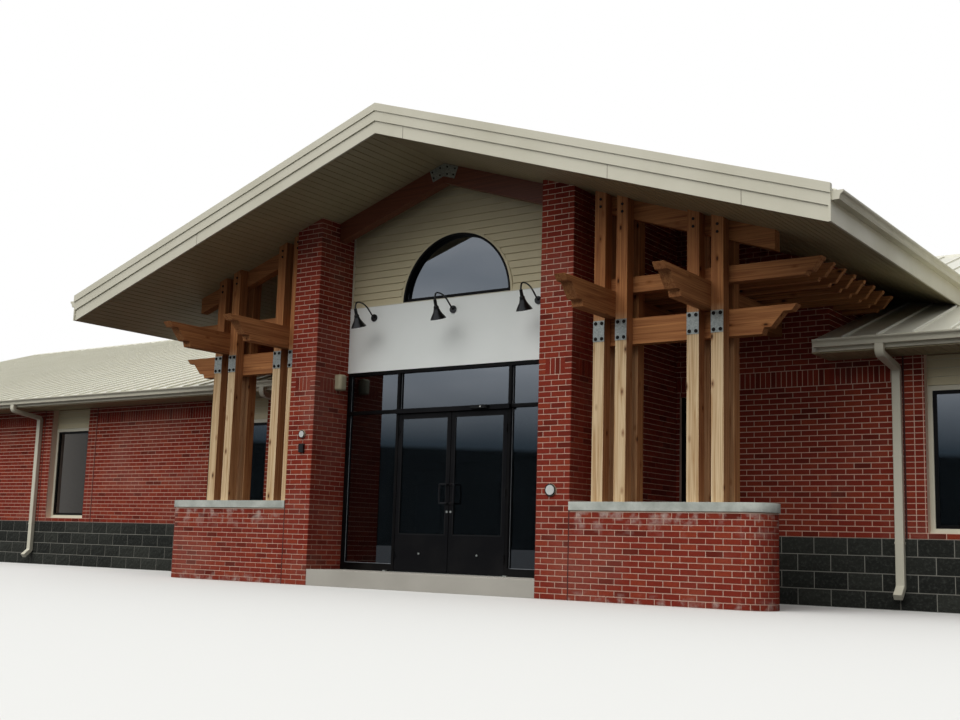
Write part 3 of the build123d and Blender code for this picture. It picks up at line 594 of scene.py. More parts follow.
leftBricks, rightBricks = newStore(), newStore()
tallWindows = [(low.x, high.x, low.z, soffitZ) for low, high in tallUnits]
fieldWall(leftBricks, (0, -1, 0), -frontY, (leftX, raisedLeft), soffitZ, [w for w in tallWindows if w[1] < 0])
fieldWall(rightBricks, (0, -1, 0), -frontY, (raisedRight, rightX), soffitZ,
          [w for w in tallWindows if w[0] > 0])
cornerHole = (cornerUnit[0].x, cornerUnit[1].x, cornerUnit[0].z, cornerUnit[1].z)
place = flatFace((0, -1, 0), -frontY)
for store, ends, side in ((leftBricks, (raisedLeft, frontWalls[0][1].x), -1),
                          (rightBricks, (frontWalls[1][0].x, raisedRight), 1)):  # raised parts
    layBanded(store, place, (*ends, baseTop, porchApex), [cornerHole] if side > 0 else [],
              [(side * roofPitch, 1.0, porchApex)])
makePiece("frontLeftBricks", leftBricks, brickFinish)
makePiece("frontRightBricks", rightBricks, brickFinish)

backBricks = newStore()
backWindows = [(-high.x, -low.x, low.z, soffitZ) for low, high in backUnits]
fieldWall(backBricks, (0, 1, 0), backY, (-rightX, -leftX), soffitZ, backWindows)
makePiece("backBricks", backBricks, brickFinish)

leftEndBricks = newStore()
endWindows = [(-high.y, -low.y, low.z, high.z) for low, high in unitsOn(0, leftX)]
fieldWall(leftEndBricks, (-1, 0, 0), -leftX, (-backY, -frontY), endTop, endWindows)
makePiece("leftEndBricks", leftEndBricks, brickFinish)
rightEndBricks = newStore()
endWindows = [(low.y, high.y, low.z, high.z) for low, high in unitsOn(0, rightX)]
fieldWall(rightEndBricks, (1, 0, 0), rightX, (frontY, backY), endTop, endWindows)
makePiece("rightEndBricks", rightEndBricks, brickFinish)
makePiece("controlJoints", joints, sealFinish)

# entry: side walls, returns, and the raised side walls over the main roof
entryBricks = newStore()
for side, name in ((-1, "entry_left_wall"), (1, "entry_right_wall")):
    low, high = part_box(name)
    outer = low.x if side < 0 else high.x
    span = (0.0, frontY) if side > 0 else (-frontY, 0.0)
    layCourses(entryBricks, flatFace((side, 0, 0), abs(outer)), (*span, 0, porchUnder(outer)))
    edge = raisedRight if side > 0 else raisedLeft
    reach = (frontY, ridgeY) if side > 0 else (-ridgeY, -frontY)
    rising = (side * roofPitch, -1.0, roofPitch * ridgeY - ridgeZ)  # over the main roof
    layCourses(entryBricks, flatFace((side, 0, 0), abs(edge)), (*reach, mainTop(frontY), porchUnder(edge)),
               cuts=[rising])
makePiece("entrySideBricks", entryBricks, brickFinish)

# piers, each face with a short group of bricks on end at the height of the band
pierBricks = newStore()
groupWide = {"front": 4, "side": 7}
for low, high in partsOf("entry_piers"):
    side = 1 if low.x > 0 else -1
    slope = [(side * roofPitch, 1.0, porchApex)]
    faces = [((0, -1, 0), -low.y, (low.x, high.x), groupWide["front"], slope),
             ((1, 0, 0), high.x, (low.y, high.y), groupWide["side"], [(0.0, 1.0, porchUnder(high.x))]),
             ((-1, 0, 0), -low.x, (-high.y, -low.y), groupWide["side"], [(0.0, 1.0, porchUnder(low.x))])]
    for bond, (out, offset, span, count, cuts) in enumerate(faces):
        place = flatFace(out, offset)
        under, middle, over = splitByBand((*span, 0, porchApex))
        layCourses(pierBricks, place, under, bond=bond, cuts=cuts)
        layCourses(pierBricks, place, over, bond=bond, cuts=cuts)
        half = count * bricks["course"] / 2
        centre = (span[0] + span[1]) / 2
        bottom, top = middle[2:]
        laySoldiers(pierBricks, place, (centre - half, centre + half, bottom, top))
        layCourses(pierBricks, place, (span[0], centre - half, bottom, top), bond=bond)
        layCourses(pierBricks, place, (centre + half, span[1], bottom, top), bond=bond)
makePiece("pierBricks", pierBricks, brickFinish)

# low walls: straight courses front and back, and headers round the end
lowBricks = newStore()
nose = {"headers": 9, "facets": 3}
for low, high in partsOf("low_walls"):
    side = 1 if low.x > 0 else -1
    radius = (high.y - low.y) / 2
    noseX = high.x - radius if side > 0 else low.x + radius
    front = sorted((low.x if side > 0 else high.x, noseX))
    layCourses(lowBricks, flatFace((0, -1, 0), -low.y), (*front, 0, high.z))
    layCourses(lowBricks, flatFace((0, 1, 0), high.y), (-front[1], -front[0], 0, high.z))
    centre = Vector((noseX, low.y + radius, 0))
    gap = bricks["joint"] / 2 / radius
    turn = math.pi / nose["headers"]
    for n in range(round(high.z / bricks["course"] + 0.3)):
        v0 = n * bricks["course"] + bricks["joint"] / 2
        v1 = min((n + 1) * bricks["course"] - bricks["joint"] / 2, high.z)
        if v1 - v0 < bricks["smallest"]:
            continue
        shift = 0.5 * turn if n % 2 else 0.0
        for i in range(nose["headers"]):
            a0, a1 = max(i * turn + gap - shift, 0.0), (i + 1) * turn - gap - shift
            tone = dice.random()
            rings = []
            for k in range(nose["facets"] + 1):
                angle = a0 + (a1 - a0) * k / nose["facets"] - math.pi / 2
                ray = Vector((side * abs(math.cos(angle)), math.sin(angle), 0))
                rings.append([centre + ray * (radius + d) + up * v
                              for d, v in rect(-bricks["sunk"], bricks["proud"], v0, v1)])
            addSolid(lowBricks, rings, tone)
makePiece("lowWallBricks", lowBricks, lowBrickFinish)

# split-face blocks of the base

blocks = {"long": 406.4 * mm, "high": 203.2 * mm, "joint": 10 * mm, "proud": 10 * mm, "edge": 3 * mm,
          "sunk": 3 * mm, "rough": 7 * mm, "rows": 4, "columns": 8}


def addBlock(store, place, us, vs):  # broken face as a grid of uneven points, with straight sides behind it
    rows, columns = blocks["rows"], blocks["columns"]
    wide = columns + 1
    first, start = len(store["points"]), len(store["faces"])
    tone = dice.random()

    def point(i, j, depth):
        u = us[0] + i / columns * (us[1] - us[0])
        v = vs[0] + j / rows * (vs[1] - vs[0])
        return tuple(place(u, v, depth))

    for j in range(rows + 1):
        for i in range(wide):
            depth = blocks["edge"]
            if 0 < i < columns and 0 < j < rows:
                depth = blocks["proud"] + dice.uniform(-1, 0.6) * blocks["rough"]
            store["points"].append(point(i, j, depth))
    for j in range(rows):
        for i in range(columns):
            a = first + j * wide + i
            store["faces"].append([a, a + 1, a + 1 + wide, a + wide])
    rim = [(i, 0) for i in range(columns)] + [(columns, j) for j in range(rows)]
    rim += [(i, rows) for i in range(columns, 0, -1)] + [(0, j) for j in range(rows, 0, -1)]
    base, count = len(store["points"]), len(rim)
    store["points"] += [point(i, j, -blocks["sunk"]) for i, j in rim]
    for k in range(count):
        m = (k + 1) % count
        a, b = (first + j * wide + i for i, j in (rim[k], rim[m]))
        store["faces"].append([b, a, base + k, base + m])
    store["faces"].append([base + k for k in reversed(range(count))])
    store["tones"] += [tone] * (len(store["faces"]) - start)


def layBlocks(store, out, offset, span):
    place = flatFace(out, offset)
    long, high, half = blocks["long"], blocks["high"], blocks["joint"] / 2
    for n in range(round(baseTop / high)):
        u = span[0] - (long / 2 if n % 2 else 0.0)
        while u < span[1]:
            u0, u1 = max(u + half, span[0]), min(u + long - half, span[1])
            if u1 - u0 >= bricks["smallest"]:
                addBlock(store, place, (u0, u1), (n * high + half, (n + 1) * high - half))
            u += long


baseBlocks = newStore()
for out, offset, span in (((0, -1, 0), -frontY, (leftX, frontWalls[0][1].x)),
                          ((0, -1, 0), -frontY, (frontWalls[1][0].x, rightX)),
                          ((0, 1, 0), backY, (-rightX, -leftX)),
                          ((-1, 0, 0), -leftX, (-backY, -frontY)),
                          ((1, 0, 0), rightX, (frontY, backY))):
    layBlocks(baseBlocks, out, offset, span)
makePiece("baseBlocks", baseBlocks, blockFinish)
print("masonry laid")

# lapped siding: each course leans out at its lower edge

laps = {"exposure": 101.6 * mm, "butt": 17 * mm, "head": 3 * mm, "groove": 8 * mm, "least": 2 * mm,
        "sunk": 2 * mm, "steps": 28, "panelSet": 18 * mm, "overFrame": 56 * mm, "underRoof": 200 * mm}


def addLap(store, place, high, run):  # run holds u with the lap's lower and upper end there
    if len(run) < 2:
        return
    lean = (laps["butt"] - laps["head"]) / laps["exposure"]
    rings = []
    for u, bottom, top in run:
        outBottom, outTop = (laps["head"] + lean * (high - z) for z in (bottom, top))
        rings.append([place(u, bottom, -laps["sunk"]), place(u, bottom, outBottom), place(u, top, outTop),
                      place(u, top, -laps["sunk"])])
    addSolid(store, rings)


def layLaps(store, place, span, low, high, bottom, top, breaks=()):  # bottom and top are limits given by u
    stops = [span[0], *breaks, span[1]]
    for n in range(math.floor((high - low) / laps["exposure"]) + 1):
        z0 = low + n * laps["exposure"]
        z1 = z0 + laps["exposure"]
        for a, b in zip(stops, stops[1:]):
            run = []
            for i in range(laps["steps"] + 1):
                u = a + (b - a) * i / laps["steps"]
                zb, zt = max(z0 + laps["groove"], bottom(u)), min(z1, top(u))
                if zt - zb > laps["least"]:
                    run.append((u, zb, zt))
                else:
                    addLap(store, place, z1, run)
                    run = []
            addLap(store, place, z1, run)


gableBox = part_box("entry_gable_wall")
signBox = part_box("sign_panel")
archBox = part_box("arched_window_trim")
archX = (archBox[0].x + archBox[1].x) / 2
archRadius = (archBox[1].x - archBox[0].x) / 2
gableFace = flatFace((0, -1, 0), -gableBox[0].y)


def archOver(x):
    return signBox[1].z + math.sqrt(max(archRadius ** 2 - (x - archX) ** 2, 0.0))


gableLaps = newStore()
layLaps(gableLaps, gableFace, (gableBox[0].x, gableBox[1].x), signBox[1].z, gableBox[1].z, archOver,
        porchUnder, (archX - archRadius, archX, archX + archRadius))
makePiece("gableLaps", gableLaps, sidingFinish)

panelLaps = newStore()
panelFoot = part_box("window_frames")[1].z + laps["overFrame"]
for row, way in ((tallUnits, -1), (backUnits, 1)):
    for low, high in row:
        place = flatFace((0, way, 0), way * (high.y if way > 0 else low.y) - laps["panelSet"])
        span = (low.x, high.x) if way < 0 else (-high.x, -low.x)
        layLaps(panelLaps, place, span, panelFoot, high.z, lambda u: panelFoot, lambda u, z=high.z: z)
makePiece("windowPanelLaps", panelLaps, sidingFinish)

endLaps = newStore()
for side, offset in ((-1, -leftX), (1, rightX)):
    span = (frontY, backY) if side > 0 else (-backY, -frontY)
    layLaps(endLaps, flatFace((side, 0, 0), offset), span, endTop, gableTop, lambda u: endTop,
            lambda u: mainTop(abs(u)) - laps["underRoof"], (side * ridgeY,))
makePiece("endGableLaps", endLaps, sidingFinish)
print("siding laid")

# metal roofs: standing seams, caps over the ridges, flashing in the valleys

seams = {"pitch": 406.4 * mm, "first": 5.003, "high": 30 * mm, "neck": 4 * mm, "wide": 10 * mm,
         "roll": 10 * mm, "sunk": 2 * mm, "fromCap": 0.13, "cap": 0.15, "capLift": 45 * mm, "valley": 0.12,
         "sheet": 3 * mm, "fromRake": 15 * mm, "shortest": 0.1, "clear": 60 * mm, "fromSoffit": 0.16}
valleyY = ridgeY - (ridgeZ - porchRoof[1].z) / roofPitch  # where the entry ridge meets the main slope
soffitMeet = ridgeY - (ridgeZ - porchApex) / roofPitch


def onMain(x, y):
    return Vector((x, y, mainTop(y)))


def onPorch(x, y):
    return Vector((x, y, porchTop(x)))


def addAlong(store, start, end, outline):  # a section carried from start to end
    side = (end - start).cross(up).normalized()
    addSolid(store, [[p + side * a + up * b for a, b in outline] for p in (start, end)])


def addSeam(store, start, end):
    neck, wide, high, sunk = (seams[k] for k in ("neck", "wide", "high", "sunk"))
    under = high - seams["roll"]
    addAlong(store, start, end, [(-neck, -sunk), (-neck, under), (-wide, under), (-wide, high), (wide, high),
                                 (wide, under), (neck, under), (neck, -sunk)])


def addCap(store, start, end, edge, crest):  # folded cap along a ridge, its edges lifted over the seams
    half = seams["cap"]
    fall = roofPitch * half
    addAlong(store, start, end, [(-half, edge - fall), (0, crest), (half, edge - fall),
                                 (half, -fall - seams["sunk"]), (-half, -fall - seams["sunk"])])


mainSeams = newStore()
seamTop = ridgeY - seams["fromCap"]
backRun = (2 * ridgeY - eaveY, 2 * ridgeY - seamTop)
first = math.ceil((mainLeft[0].x - seams["first"]) / seams["pitch"])
last = math.floor((mainRight[1].x - seams["first"]) / seams["pitch"])
for k in range(first, last + 1):
    x = seams["first"] + k * seams["pitch"]
    runs = [(eaveY, seamTop)]
    if abs(x) < porchHalf + seams["clear"]:  # the entry roof covers the middle of this run
        runs = [(valleyY - abs(x) + seams["valley"], seamTop)]
        if not raisedLeft - 50 * mm <= x <= raisedRight + 50 * mm:
            runs.append((eaveY, soffitMeet - abs(x) - seams["fromSoffit"]))
    for a, b in [run for run in runs if run[1] - run[0] > seams["shortest"]] + [backRun]:
        addSeam(mainSeams, onMain(x, a), onMain(x, b))
for x in (mainLeft[0].x + seams["fromRake"], mainRight[1].x - seams["fromRake"]):  # last rib along each rake
    for a, b in ((eaveY, seamTop), backRun):
        addSeam(mainSeams, onMain(x, a), onMain(x, b))
addCap(mainSeams, onMain(mainLeft[0].x, ridgeY), onMain(mainRight[1].x, ridgeY),
       roofPitch * seams["cap"] - 8 * mm, 0.0)
makePiece("mainRoofSeams", mainSeams, seamFinishPaintedLight)

porchSeams = newStore()
y = porchRoof[0].y + seams["pitch"] / 2
while y < valleyY - 0.3:
    inner, outer = seams["fromCap"], min(porchHalf, valleyY - y - seams["valley"])
    for side in (-1, 1):
        if outer - inner > seams["shortest"]:
            addSeam(porchSeams, onPorch(side * outer, y), onPorch(side * inner, y))
    y += seams["pitch"]
lift = seams["capLift"]
addCap(porchSeams, onPorch(0, porchRoof[0].y), onPorch(0, valleyY), lift, lift + 4 * mm)
for side in (-1, 1):  # flashing folded along the valleys
    rings = []
    for x in (porchHalf, 0.0):
        y, z = valleyY - x, porchTop(x)
        bent = [(side * x, y - seams["valley"], z), (side * x, y, z), (side * (x + seams["valley"]), y, z)]
        over = [Vector(p) + up * seams["sheet"] for p in bent]
        rings.append(over + [Vector(p) - up * seams["sheet"] for p in reversed(bent)])
    addSolid(porchSeams, rings)
makePiece("entryRoofSeams", porchSeams, seamFinishPaintedLight)

# soffit planks: grooved sheets running front to back under both roofs

planks = {"wide": 101.6 * mm, "groove": 9 * mm, "thick": 7 * mm, "shortest": 20 * mm, "fromRoof": 50 * mm}


def layPlanks(store, x0, x1, level, reach):  # level and run of y are given by x
    count = max(1, round((x1 - x0) / planks["wide"]))
    step = (x1 - x0) / count
    half = planks["groove"] / 2
    for i in range(count):
        a, b = x0 + i * step + half, x0 + (i + 1) * step - half
        y0, y1 = reach((a + b) / 2)
        if y1 - y0 >= planks["shortest"]:
            addSolid(store, [[(a, y, level(a) + mm), (a, y, level(a) - planks["thick"]),
                              (b, y, level(b) - planks["thick"]), (b, y, level(b) + mm)] for y in (y0, y1)])


soffitPlanks = newStore()
for ends in ((-porchHalf, 0.0), (0.0, porchHalf)):
    layPlanks(soffitPlanks, *ends, porchUnder,
              lambda x: (porchRoof[0].y, soffitMeet - abs(x) - planks["fromRoof"]))
makePiece("entrySoffitPlanks", soffitPlanks, soffitFinish)

eavePlanks = newStore()
frontRun = (eaveY, frontY)
for x0, x1, run in ((mainLeft[0].x, raisedLeft, frontRun), (raisedRight, mainRight[1].x, frontRun),
                    (mainLeft[0].x, mainRight[1].x, (backY, 2 * ridgeY - eaveY))):
    layPlanks(eavePlanks, x0, x1, lambda x: soffitZ, lambda x: run)
makePiece("eaveSoffitPlanks", eavePlanks, soffitFinish)
print("roofs dressed")

# bolts of the timber frames, through the plates, the post tops and the plate at the ridge

bolts = {"washer": 22 * mm, "head": 15 * mm, "washerThick": 3 * mm, "headHigh": 11 * mm,
         "plateInset": 34 * mm, "postTop": (0.075, 0.165), "postScale": 0.8, "ridgeScale": 0.6,
         "ridge": ((0.06, 0.05), (0.06, 0.15), (0.19, 0.05), (0.165, 0.14))}


def addBolt(store, place, u, v, scale=1.0):
    thick = bolts["washerThick"]
    addSlab(store, place, circle(u, v, scale * bolts["washer"], 20), -mm, thick)
    hexagon = circle(u, v, scale * bolts["head"], 6, dice.random())
    addSlab(store, place, hexagon, thick, thick + bolts["headHigh"])


boltStore = newStore()
rowMiddle = (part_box("low_walls")[0].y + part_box("low_walls")[1].y) / 2
for low, high in partsOf("connector_plates"):
    out = -1 if high.y < rowMiddle else 1
    place = flatFace((0, out, 0), -low.y if out < 0 else high.y)
    for x in (low.x + bolts["plateInset"], high.x - bolts["plateInset"]):
        for z in (low.z + bolts["plateInset"], high.z - bolts["plateInset"]):
            addBolt(boltStore, place, -out * x, z)
for low, high in partsOf("timber_posts"):  # where the sloping beam is bolted under the soffit
    if high.y < rowMiddle:
        place = flatFace((0, -1, 0), -low.y)
        postTop = porchUnder(max(abs(low.x), abs(high.x)))
        for drop in bolts["postTop"]:
            addBolt(boltStore, place, (low.x + high.x) / 2, postTop - drop, bolts["postScale"])
place = flatFace((0, -1, 0), -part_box("rafter_gusset")[0].y)
for side in (-1, 1):
    for along, drop in bolts["ridge"]:
        addBolt(boltStore, place, side * along, porchUnder(along) - drop, bolts["ridgeScale"])
makePiece("timberBolts", boltStore, boltFinish)

# gutters: closed ends and hangers; straps on the downspouts

gutterSection = [(0, 0), (0, -90), (76, -90), (84, -52), (96, -36), (114, -24), (120, -14), (120, 0)]
gutterSection = [(a * mm, b * mm) for a, b in gutterSection]  # outward from the back of the gutter, and up
fittings = {"cap": 2 * mm, "hanger": 20 * mm, "hangerStep": 0.61, "strap": 25 * mm, "strapOut": 3 * mm,
            "strapLevels": (0.75, 1.75), "pipeDeep": 83 * mm}
gutterEnds = newStore()
for low, high in partsOf("main_gutters"):
    way = 1 if high.y < ridgeY else -1
    back = high.y if way > 0 else low.y
    for x in (low.x, high.x - fittings["cap"]):
        addSolid(gutterEnds, [[(x + d, back - way * a, high.z + b) for a, b in gutterSection]
                              for d in (0, fittings["cap"])])
    x = low.x + fittings["hangerStep"] / 2
    while x < high.x - fittings["hanger"]:
        addBar(gutterEnds, (x, low.y + 2 * mm, high.z - 8 * mm),
               (x + fittings["hanger"], high.y - mm, high.z - 5 * mm))
        x += fittings["hangerStep"]
for low, high in partsOf("entry_gutters"):
    side = 1 if low.x > 0 else -1
    back = low.x if side > 0 else high.x
    addSolid(gutterEnds, [[(back + side * a, low.y + d, high.z + b) for a, b in gutterSection]
                          for d in (0, fittings["cap"])])
for low, high in partsOf("downspouts"):
    out = fittings["strapOut"]
    deep = fittings["pipeDeep"] + out
    near = frontY - deep if high.y < ridgeY else backY
    for z in fittings["strapLevels"]:
        addBar(gutterEnds, (low.x - out, near, z), (high.x + out, near + deep, z + fittings["strap"]))
makePiece("gutterFittings", gutterEnds, trimFinish)

# edge trims where the siding meets the brick and the soffit

edging = {"wide": 22 * mm, "proud": 24 * mm, "back": 3 * mm, "sill": (4 * mm, 3 * mm, 6 * mm)}
trims = newStore()
wide = edging["wide"]
for side in (-1, 1):
    x = side * gableBox[1].x
    x0, x1 = sorted((x, side * (gableBox[1].x - wide)))
    upright = [(x0, signBox[1].z), (x1, signBox[1].z), (x1, porchUnder(x1)), (x0, porchUnder(x0))]
    rising = [(0, porchApex), (x, porchUnder(x)), (x, porchUnder(x) - wide), (0, porchApex - wide)]
    for outline in (upright, rising):
        addSlab(trims, gableFace, outline, -edging["back"], edging["proud"])
out, down, rise = edging["sill"]
addBar(trims, (signBox[0].x, signBox[0].y - out, signBox[1].z - down),
       (signBox[1].x, gableBox[0].y, signBox[1].z + rise))
makePiece("sidingTrims", trims, trimFinish)

# butt joints in the fascia, and sealant between the low walls and the piers

butt = {"wide": 4 * mm, "at": (0.45, 3.35, 4.9, -3.2), "set": 32 * mm, "under": 14 * mm, "below": 0.2,
        "seal": 6 * mm}
fasciaJoints = newStore()
place = flatFace((0, -1, 0), -(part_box("entry_fascia")[0].y + butt["set"]))
for x in butt["at"]:
    foot, head = porchUnder(x) - butt["under"], porchTop(x) - butt["below"]
    addSlab(fasciaJoints, place, rect(x, x + butt["wide"], foot, head), -mm, 1.5 * mm)
makePiece("fasciaJoints", fasciaJoints, sealFinish)

pierJoints = newStore()
for low, high in partsOf("low_walls"):
    x = low.x if low.x > 0 else high.x
    addBar(pierJoints, (x - butt["seal"], low.y - butt["seal"], 0.0), (x + butt["seal"], low.y, high.z))
makePiece("pierJoints", pierJoints, sealFinish)

# doors: threshold, pivots, glazing beads, lock and lower knobs

door = {"bead": 12 * mm, "beadOut": 10 * mm, "saddle": 5.5 * mm, "saddleFrom": (-45 * mm, -20 * mm),
        "saddleTo": (-10 * mm, 15 * mm), "knob": 14 * mm, "knobOut": 12 * mm, "knobIn": 0.47, "knobZ": 0.465,
        "lock": 16 * mm, "lockOut": 5 * mm, "lockIn": 26 * mm, "lockZ": 1.02, "leaf": 45 * mm,
        "pivot": (50 * mm, 30 * mm, 16 * mm), "pivotX": (-0.978, 0.985)}
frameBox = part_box("storefront_frame")
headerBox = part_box("door_header")
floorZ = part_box("floor_slab")[1].z
threshold = newStore()
(y0, y1), (y2, y3) = ([box.y + d for d in door[key]] for box, key in
                      ((frameBox[0], "saddleFrom"), (frameBox[1], "saddleTo")))
section = ((y0, floorZ - mm), (y1, floorZ + door["saddle"]), (y2, floorZ + door["saddle"]), (y3, floorZ - mm))
addSolid(threshold, [[(x, y, z) for y, z in section] for x in (headerBox[0].x, headerBox[1].x)])
wide, deep, high = door["pivot"]
for x in door["pivotX"]:
    addBar(threshold, (x - wide / 2, headerBox[0].y - deep, floorZ - mm),
           (x + wide / 2, headerBox[0].y + 10 * mm, floorZ + high))
makePiece("doorThreshold", threshold, steelFinish)

for name, inner in (("left_door", 1), ("right_door", -1)):
    low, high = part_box(name + "_leaf")
    glassLow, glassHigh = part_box(name + "_glass")
    beads = newStore()
    front = glassLow.y - door["beadOut"]
    wide = door["bead"]
    for x in (glassLow.x, glassHigh.x - wide):
        addBar(beads, (x, front, glassLow.z), (x + wide, glassLow.y, glassHigh.z))
    for z in (glassLow.z, glassHigh.z - wide):
        addBar(beads, (glassLow.x, front, z), (glassHigh.x, glassLow.y, z + wide))
    makePiece(name + "_beads", beads, rubberFinish, name)
    knobs = newStore()
    place = flatFace((0, -1, 0), door["leaf"] - high.y)
    edge = high.x if inner > 0 else low.x
    for kind in ("knob", "lock"):
        outline = circle(edge - inner * door[kind + "In"], door[kind + "Z"], door[kind], 20)
        addSlab(knobs, place, outline, -mm, door[kind + "Out"])
    makePiece(name + "_knobs", knobs, steelFinish, name)

# pale strips that show as a thin line round the fixed panes: a painted highlight, standing for the light
# caught by the glazing beads

beadHighlightSizes = {"wide": 6 * mm, "archWide": 7 * mm, "out": 2 * mm, "steps": 48}
beadHighlightStore = newStore()
for low, high in partsOf("storefront_glass"):
    wide, front = beadHighlightSizes["wide"], low.y - beadHighlightSizes["out"]
    for x in (low.x, high.x - wide):
        addBar(beadHighlightStore, (x, front, low.z), (x + wide, low.y, high.z))
    addBar(beadHighlightStore, (low.x, front, low.z), (high.x, low.y, low.z + wide))
low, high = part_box("arched_window_glass")
place = flatFace((0, -1, 0), -low.y)
middle, radius = (low.x + high.x) / 2, (high.x - low.x) / 2
outer, inner = ([(middle + reach * math.cos(math.pi * i / beadHighlightSizes["steps"]),
                  low.z + reach * math.sin(math.pi * i / beadHighlightSizes["steps"])) for i in range(beadHighlightSizes["steps"] + 1)]
                for reach in (radius, radius - beadHighlightSizes["archWide"]))
for i in range(beadHighlightSizes["steps"]):
    addSlab(beadHighlightStore, place, [outer[i], outer[i + 1], inner[i + 1], inner[i]], -mm, beadHighlightSizes["out"])
addBar(beadHighlightStore, (low.x, low.y - beadHighlightSizes["out"], low.z), (high.x, low.y, low.z + beadHighlightSizes["archWide"]))
makePiece("glazingTape", beadHighlightStore, beadHighlightFinish)

# motion sensor over the doors, with its lamp

motion = {"size": (0.266, 0.045, 0.045), "x": 0.517, "lamp": 40 * mm, "lampRadius": 10 * mm, "step": 20 * mm,
          "nose": 8 * mm, "under": 4 * mm}
sensor = newStore()
wide, deep, high = motion["size"]
top = headerBox[1].z - motion["under"]
for cut, out in ((0, deep), (motion["step"], deep + motion["nose"])):
    half = wide / 2 - cut
    addBar(sensor, (motion["x"] - half, headerBox[0].y - out, top - high),
           (motion["x"] + half, headerBox[0].y, top))
makePiece("doorSensor", sensor, rubberFinish)
lens = newStore()
place = flatFace((0, -1, 0), deep + motion["nose"] - headerBox[0].y)
eye = circle(motion["x"] + motion["lamp"], top - high / 2, motion["lampRadius"], 20)
addSlab(lens, place, eye, -mm, 3 * mm)
makePiece("sensorLens", lens, lensFinish)

# round fittings on the front of the piers: a pale face within a dark rim
faces, rims = newStore(), newStore()
faceShare = 0.78
for low, high in partsOf("wall_fittings"):
    if high.y < -0.6 and abs((high.x - low.x) - (high.z - low.z)) < 2 * mm:
        place = flatFace((0, -1, 0), -low.y)
        u, v, radius = (low.x + high.x) / 2, (low.z + high.z) / 2, (high.x - low.x) / 2
        addSlab(rims, place, circle(u, v, radius - mm, 40), -mm, 2 * mm)
        addSlab(faces, place, circle(u, v, faceShare * radius, 40), mm, 5 * mm)
makePiece("plateRims", rims, lampFinish)
makePiece("plateFaces", faces, lensFinish)

# window sills, and folded sheet over the jambs

sill = {"out": 22 * mm, "high": 26 * mm, "deep": 112 * mm, "sheet": 2.5 * mm}
sills = newStore()
for low, high in units:
    lengthwise = high.x - low.x > high.y - low.y
    if lengthwise:
        way = -1 if low.y < ridgeY else 1
        wallY = low.y if way < 0 else high.y
        place = flatFace((0, way, 0), way * wallY)
        span = (low.x, high.x) if way < 0 else (-high.x, -low.x)
    else:
        way = -1 if low.x < 0 else 1
        place = flatFace((way, 0, 0), way * (low.x if way < 0 else high.x))
        span = (low.y, high.y) if way > 0 else (-high.y, -low.y)
    addSlab(sills, place, rect(*span, low.z, low.z + sill["high"]), -2 * mm, sill["out"])
    if lengthwise and (low, high) != cornerUnit:
        y0, y1 = sorted((wallY, wallY - way * sill["deep"]))
        for x, inward in ((low.x, 1), (high.x, -1)):
            x0, x1 = sorted((x, x + inward * sill["sheet"]))
            addBar(sills, (x0, y0, low.z), (x1, y1, high.z))
makePiece("windowSills", sills, trimFinish)
low, high = cornerUnit
refinish("window_panels", bronzeFinish,  # the narrow window in the corner has a dark surround
         lambda face: low.x - mm < face.center.x < high.x + mm and abs(face.center.y - low.y) < 0.2)
print("small parts placed")

# camera, floor and light

view = {"place": (9.767, -12.965, 0.605), "turn": -35.654, "tilt": 8.576, "roll": 1.665, "lens": 45.93,
        "sensor": 36, "far": 500}


def makeCamera():
    turn, tilt, roll = (math.radians(view[k]) for k in ("turn", "tilt", "roll"))
    ahead = Vector((math.sin(turn) * math.cos(tilt), math.cos(turn) * math.cos(tilt), math.sin(tilt)))
    right = Vector((math.cos(turn), -math.sin(turn), 0))
    down = ahead.cross(right)
    c, s = math.cos(roll), math.sin(roll)
    right, down = c * right - s * down, s * right + c * down
    camera = bpy.data.objects.new("photoView", bpy.data.cameras.new("photoView"))
    bpy.context.scene.collection.objects.link(camera)
    turned = Matrix((right, -down, -ahead)).transposed().to_4x4()
    camera.matrix_world = Matrix.Translation(view["place"]) @ turned
    camera.data.lens = view["lens"]
    camera.data.sensor_width = view["sensor"]
    camera.data.clip_end = view["far"]
    bpy.context.scene.camera = camera


light = {"high": 0.9, "frontLow": 0.54, "frontTop": 0.6, "rightLow": 0.03, "rightTop": 0.95, "sky": "#f6f8fb",
         "sun": 2.0, "sunSpread": 70, "sunFrom": (-0.12, -0.85, 0.95), "floor": "#e6e5e0", "floorSize": 150,
         "bounce": 0.07}
# what the windows mirror: a low dark line, which ends far to the left, then a brightening overcast sky
mirrored = {"skyline": "#050606", "skylineTop": 4.3, "dim": "#56636d", "dimTop": 4.6, "clearFrom": 8.2,
            "clear": "#f4f5fa", "cloud": "#cdd3dc", "haze": "#a0958a", "hazeFrom": (-0.78, -0.81)}


def makeFloor():  # pale to the camera, dark to the light that bounces off it
    finish = bpy.data.materials.new("paleFloor")
    finish.use_nodes = True
    tree = finish.node_tree
    skin = tree.nodes["Principled BSDF"]
    skin.inputs["Roughness"].default_value = 0.95
    seen = addNode(tree, "LightPath").outputs["Is Camera Ray"]
    shade = (light["bounce"],) * 3 + (1.0,)
    tree.links.new(blendColours(tree, seen, shade, light["floor"]), skin.inputs["Base Color"])
    size = light["floorSize"]
    mesh = bpy.data.meshes.new("floor")
    mesh.from_pydata([(x, y, 0) for x, y in rect(-size, size, -size, size)], [], [(0, 1, 2, 3)])
    mesh.materials.append(finish)
    floor = bpy.data.objects.new("floor", mesh)
    bpy.context.scene.collection.objects.link(floor)


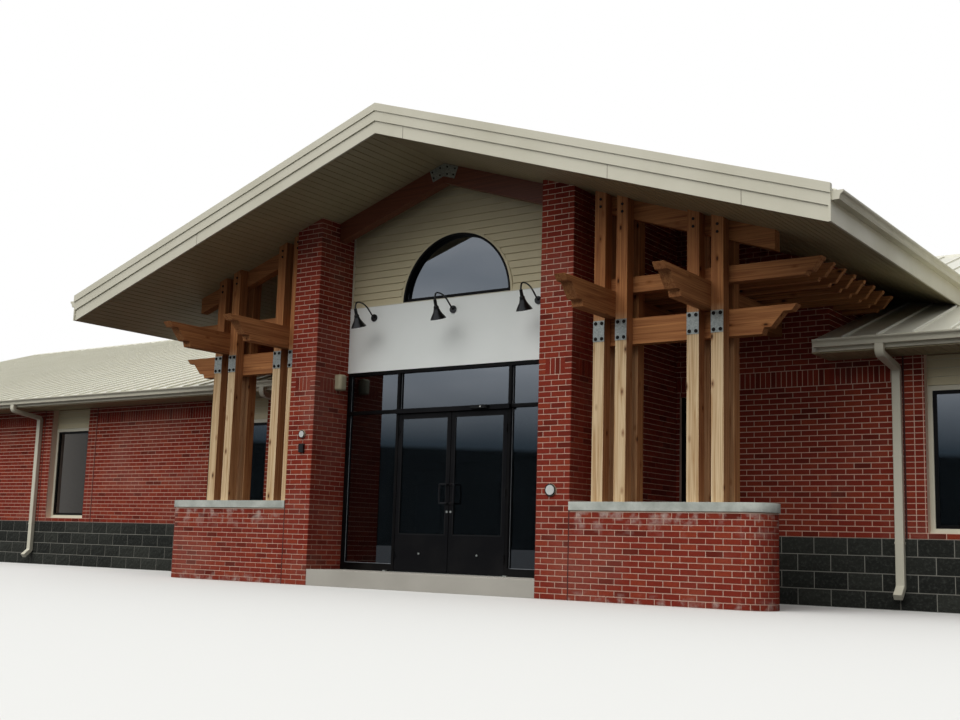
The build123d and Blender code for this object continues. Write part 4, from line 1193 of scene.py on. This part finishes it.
def makeWorld():
    world = bpy.data.worlds.new("paleSky")
    bpy.context.scene.world = world
    world.use_nodes = True
    tree = world.node_tree
    dome = tree.nodes["Background"]
    dome.inputs["Color"].default_value = colour(light["sky"])
    path = addNode(tree, "LightPath").outputs
    ray = addNode(tree, "TexCoord").outputs["Generated"]
    parts = addNode(tree, "SeparateXYZ", {}, {"Vector": ray}).outputs
    front = spread(tree, parts["Z"], 0.0, light["frontTop"], light["frontLow"], light["high"])
    right = spread(tree, parts["Z"], 0.1, light["rightTop"], light["rightLow"], light["high"])
    side = spread(tree, parts["X"], -0.1, 0.6)
    reach = addNode(tree, "Mix", {}, {0: side, 2: front, 3: right}).outputs[0]
    tree.links.new(reach, dome.inputs["Strength"])
    rim, dim, clear = (math.sin(math.radians(mirrored[k])) for k in ("skylineTop", "dimTop", "clearFrom"))
    ground = blendColours(tree, spread(tree, parts["X"], *mirrored["hazeFrom"]), mirrored["skyline"],
                          mirrored["haze"])
    low = blendColours(tree, spread(tree, parts["Z"], rim, rim + 0.004), ground, mirrored["dim"])
    drift = addNode(tree, "Mapping", {"Scale": (1.0, 1.0, 3.0)}, {"Vector": ray}).outputs[0]
    soft = {"Scale": 7.0, "Detail": 4.0, "Roughness": 0.45}
    cloud = addNode(tree, "TexNoise", soft, {"Vector": drift}).outputs[0]
    overcast = blendColours(tree, spread(tree, cloud, 0.4, 0.65), mirrored["clear"], mirrored["cloud"])
    shown = blendColours(tree, spread(tree, parts["Z"], dim, clear), low, overcast)
    plain = addNode(tree, "Background", {"Strength": 1.0, "Color": (1.0, 1.0, 1.0, 1.0)}).outputs[0]
    glossy = addNode(tree, "Background", {"Strength": 1.0}, {"Color": shown}).outputs[0]
    result = dome.outputs[0]
    for kind, source in (("Is Glossy Ray", glossy), ("Is Transmission Ray", plain), ("Is Camera Ray", plain)):
        result = addNode(tree, "MixShader", {}, {0: path[kind], 1: result, 2: source}).outputs[0]
    tree.links.new(result, tree.nodes["World Output"].inputs["Surface"])


def makeSun():
    lamp = bpy.data.lights.new("softSun", "SUN")
    lamp.energy = light["sun"]
    lamp.angle = math.radians(light["sunSpread"])
    sun = bpy.data.objects.new("softSun", lamp)
    sun.visible_glossy = False  # the wide disc stays out of the windows
    sun.rotation_mode = "QUATERNION"
    sun.rotation_quaternion = Vector(light["sunFrom"]).to_track_quat("Z", "Y")
    bpy.context.scene.collection.objects.link(sun)


makeCamera()
makeFloor()
makeWorld()
makeSun()
bpy.context.scene.view_settings.view_transform = "Standard"
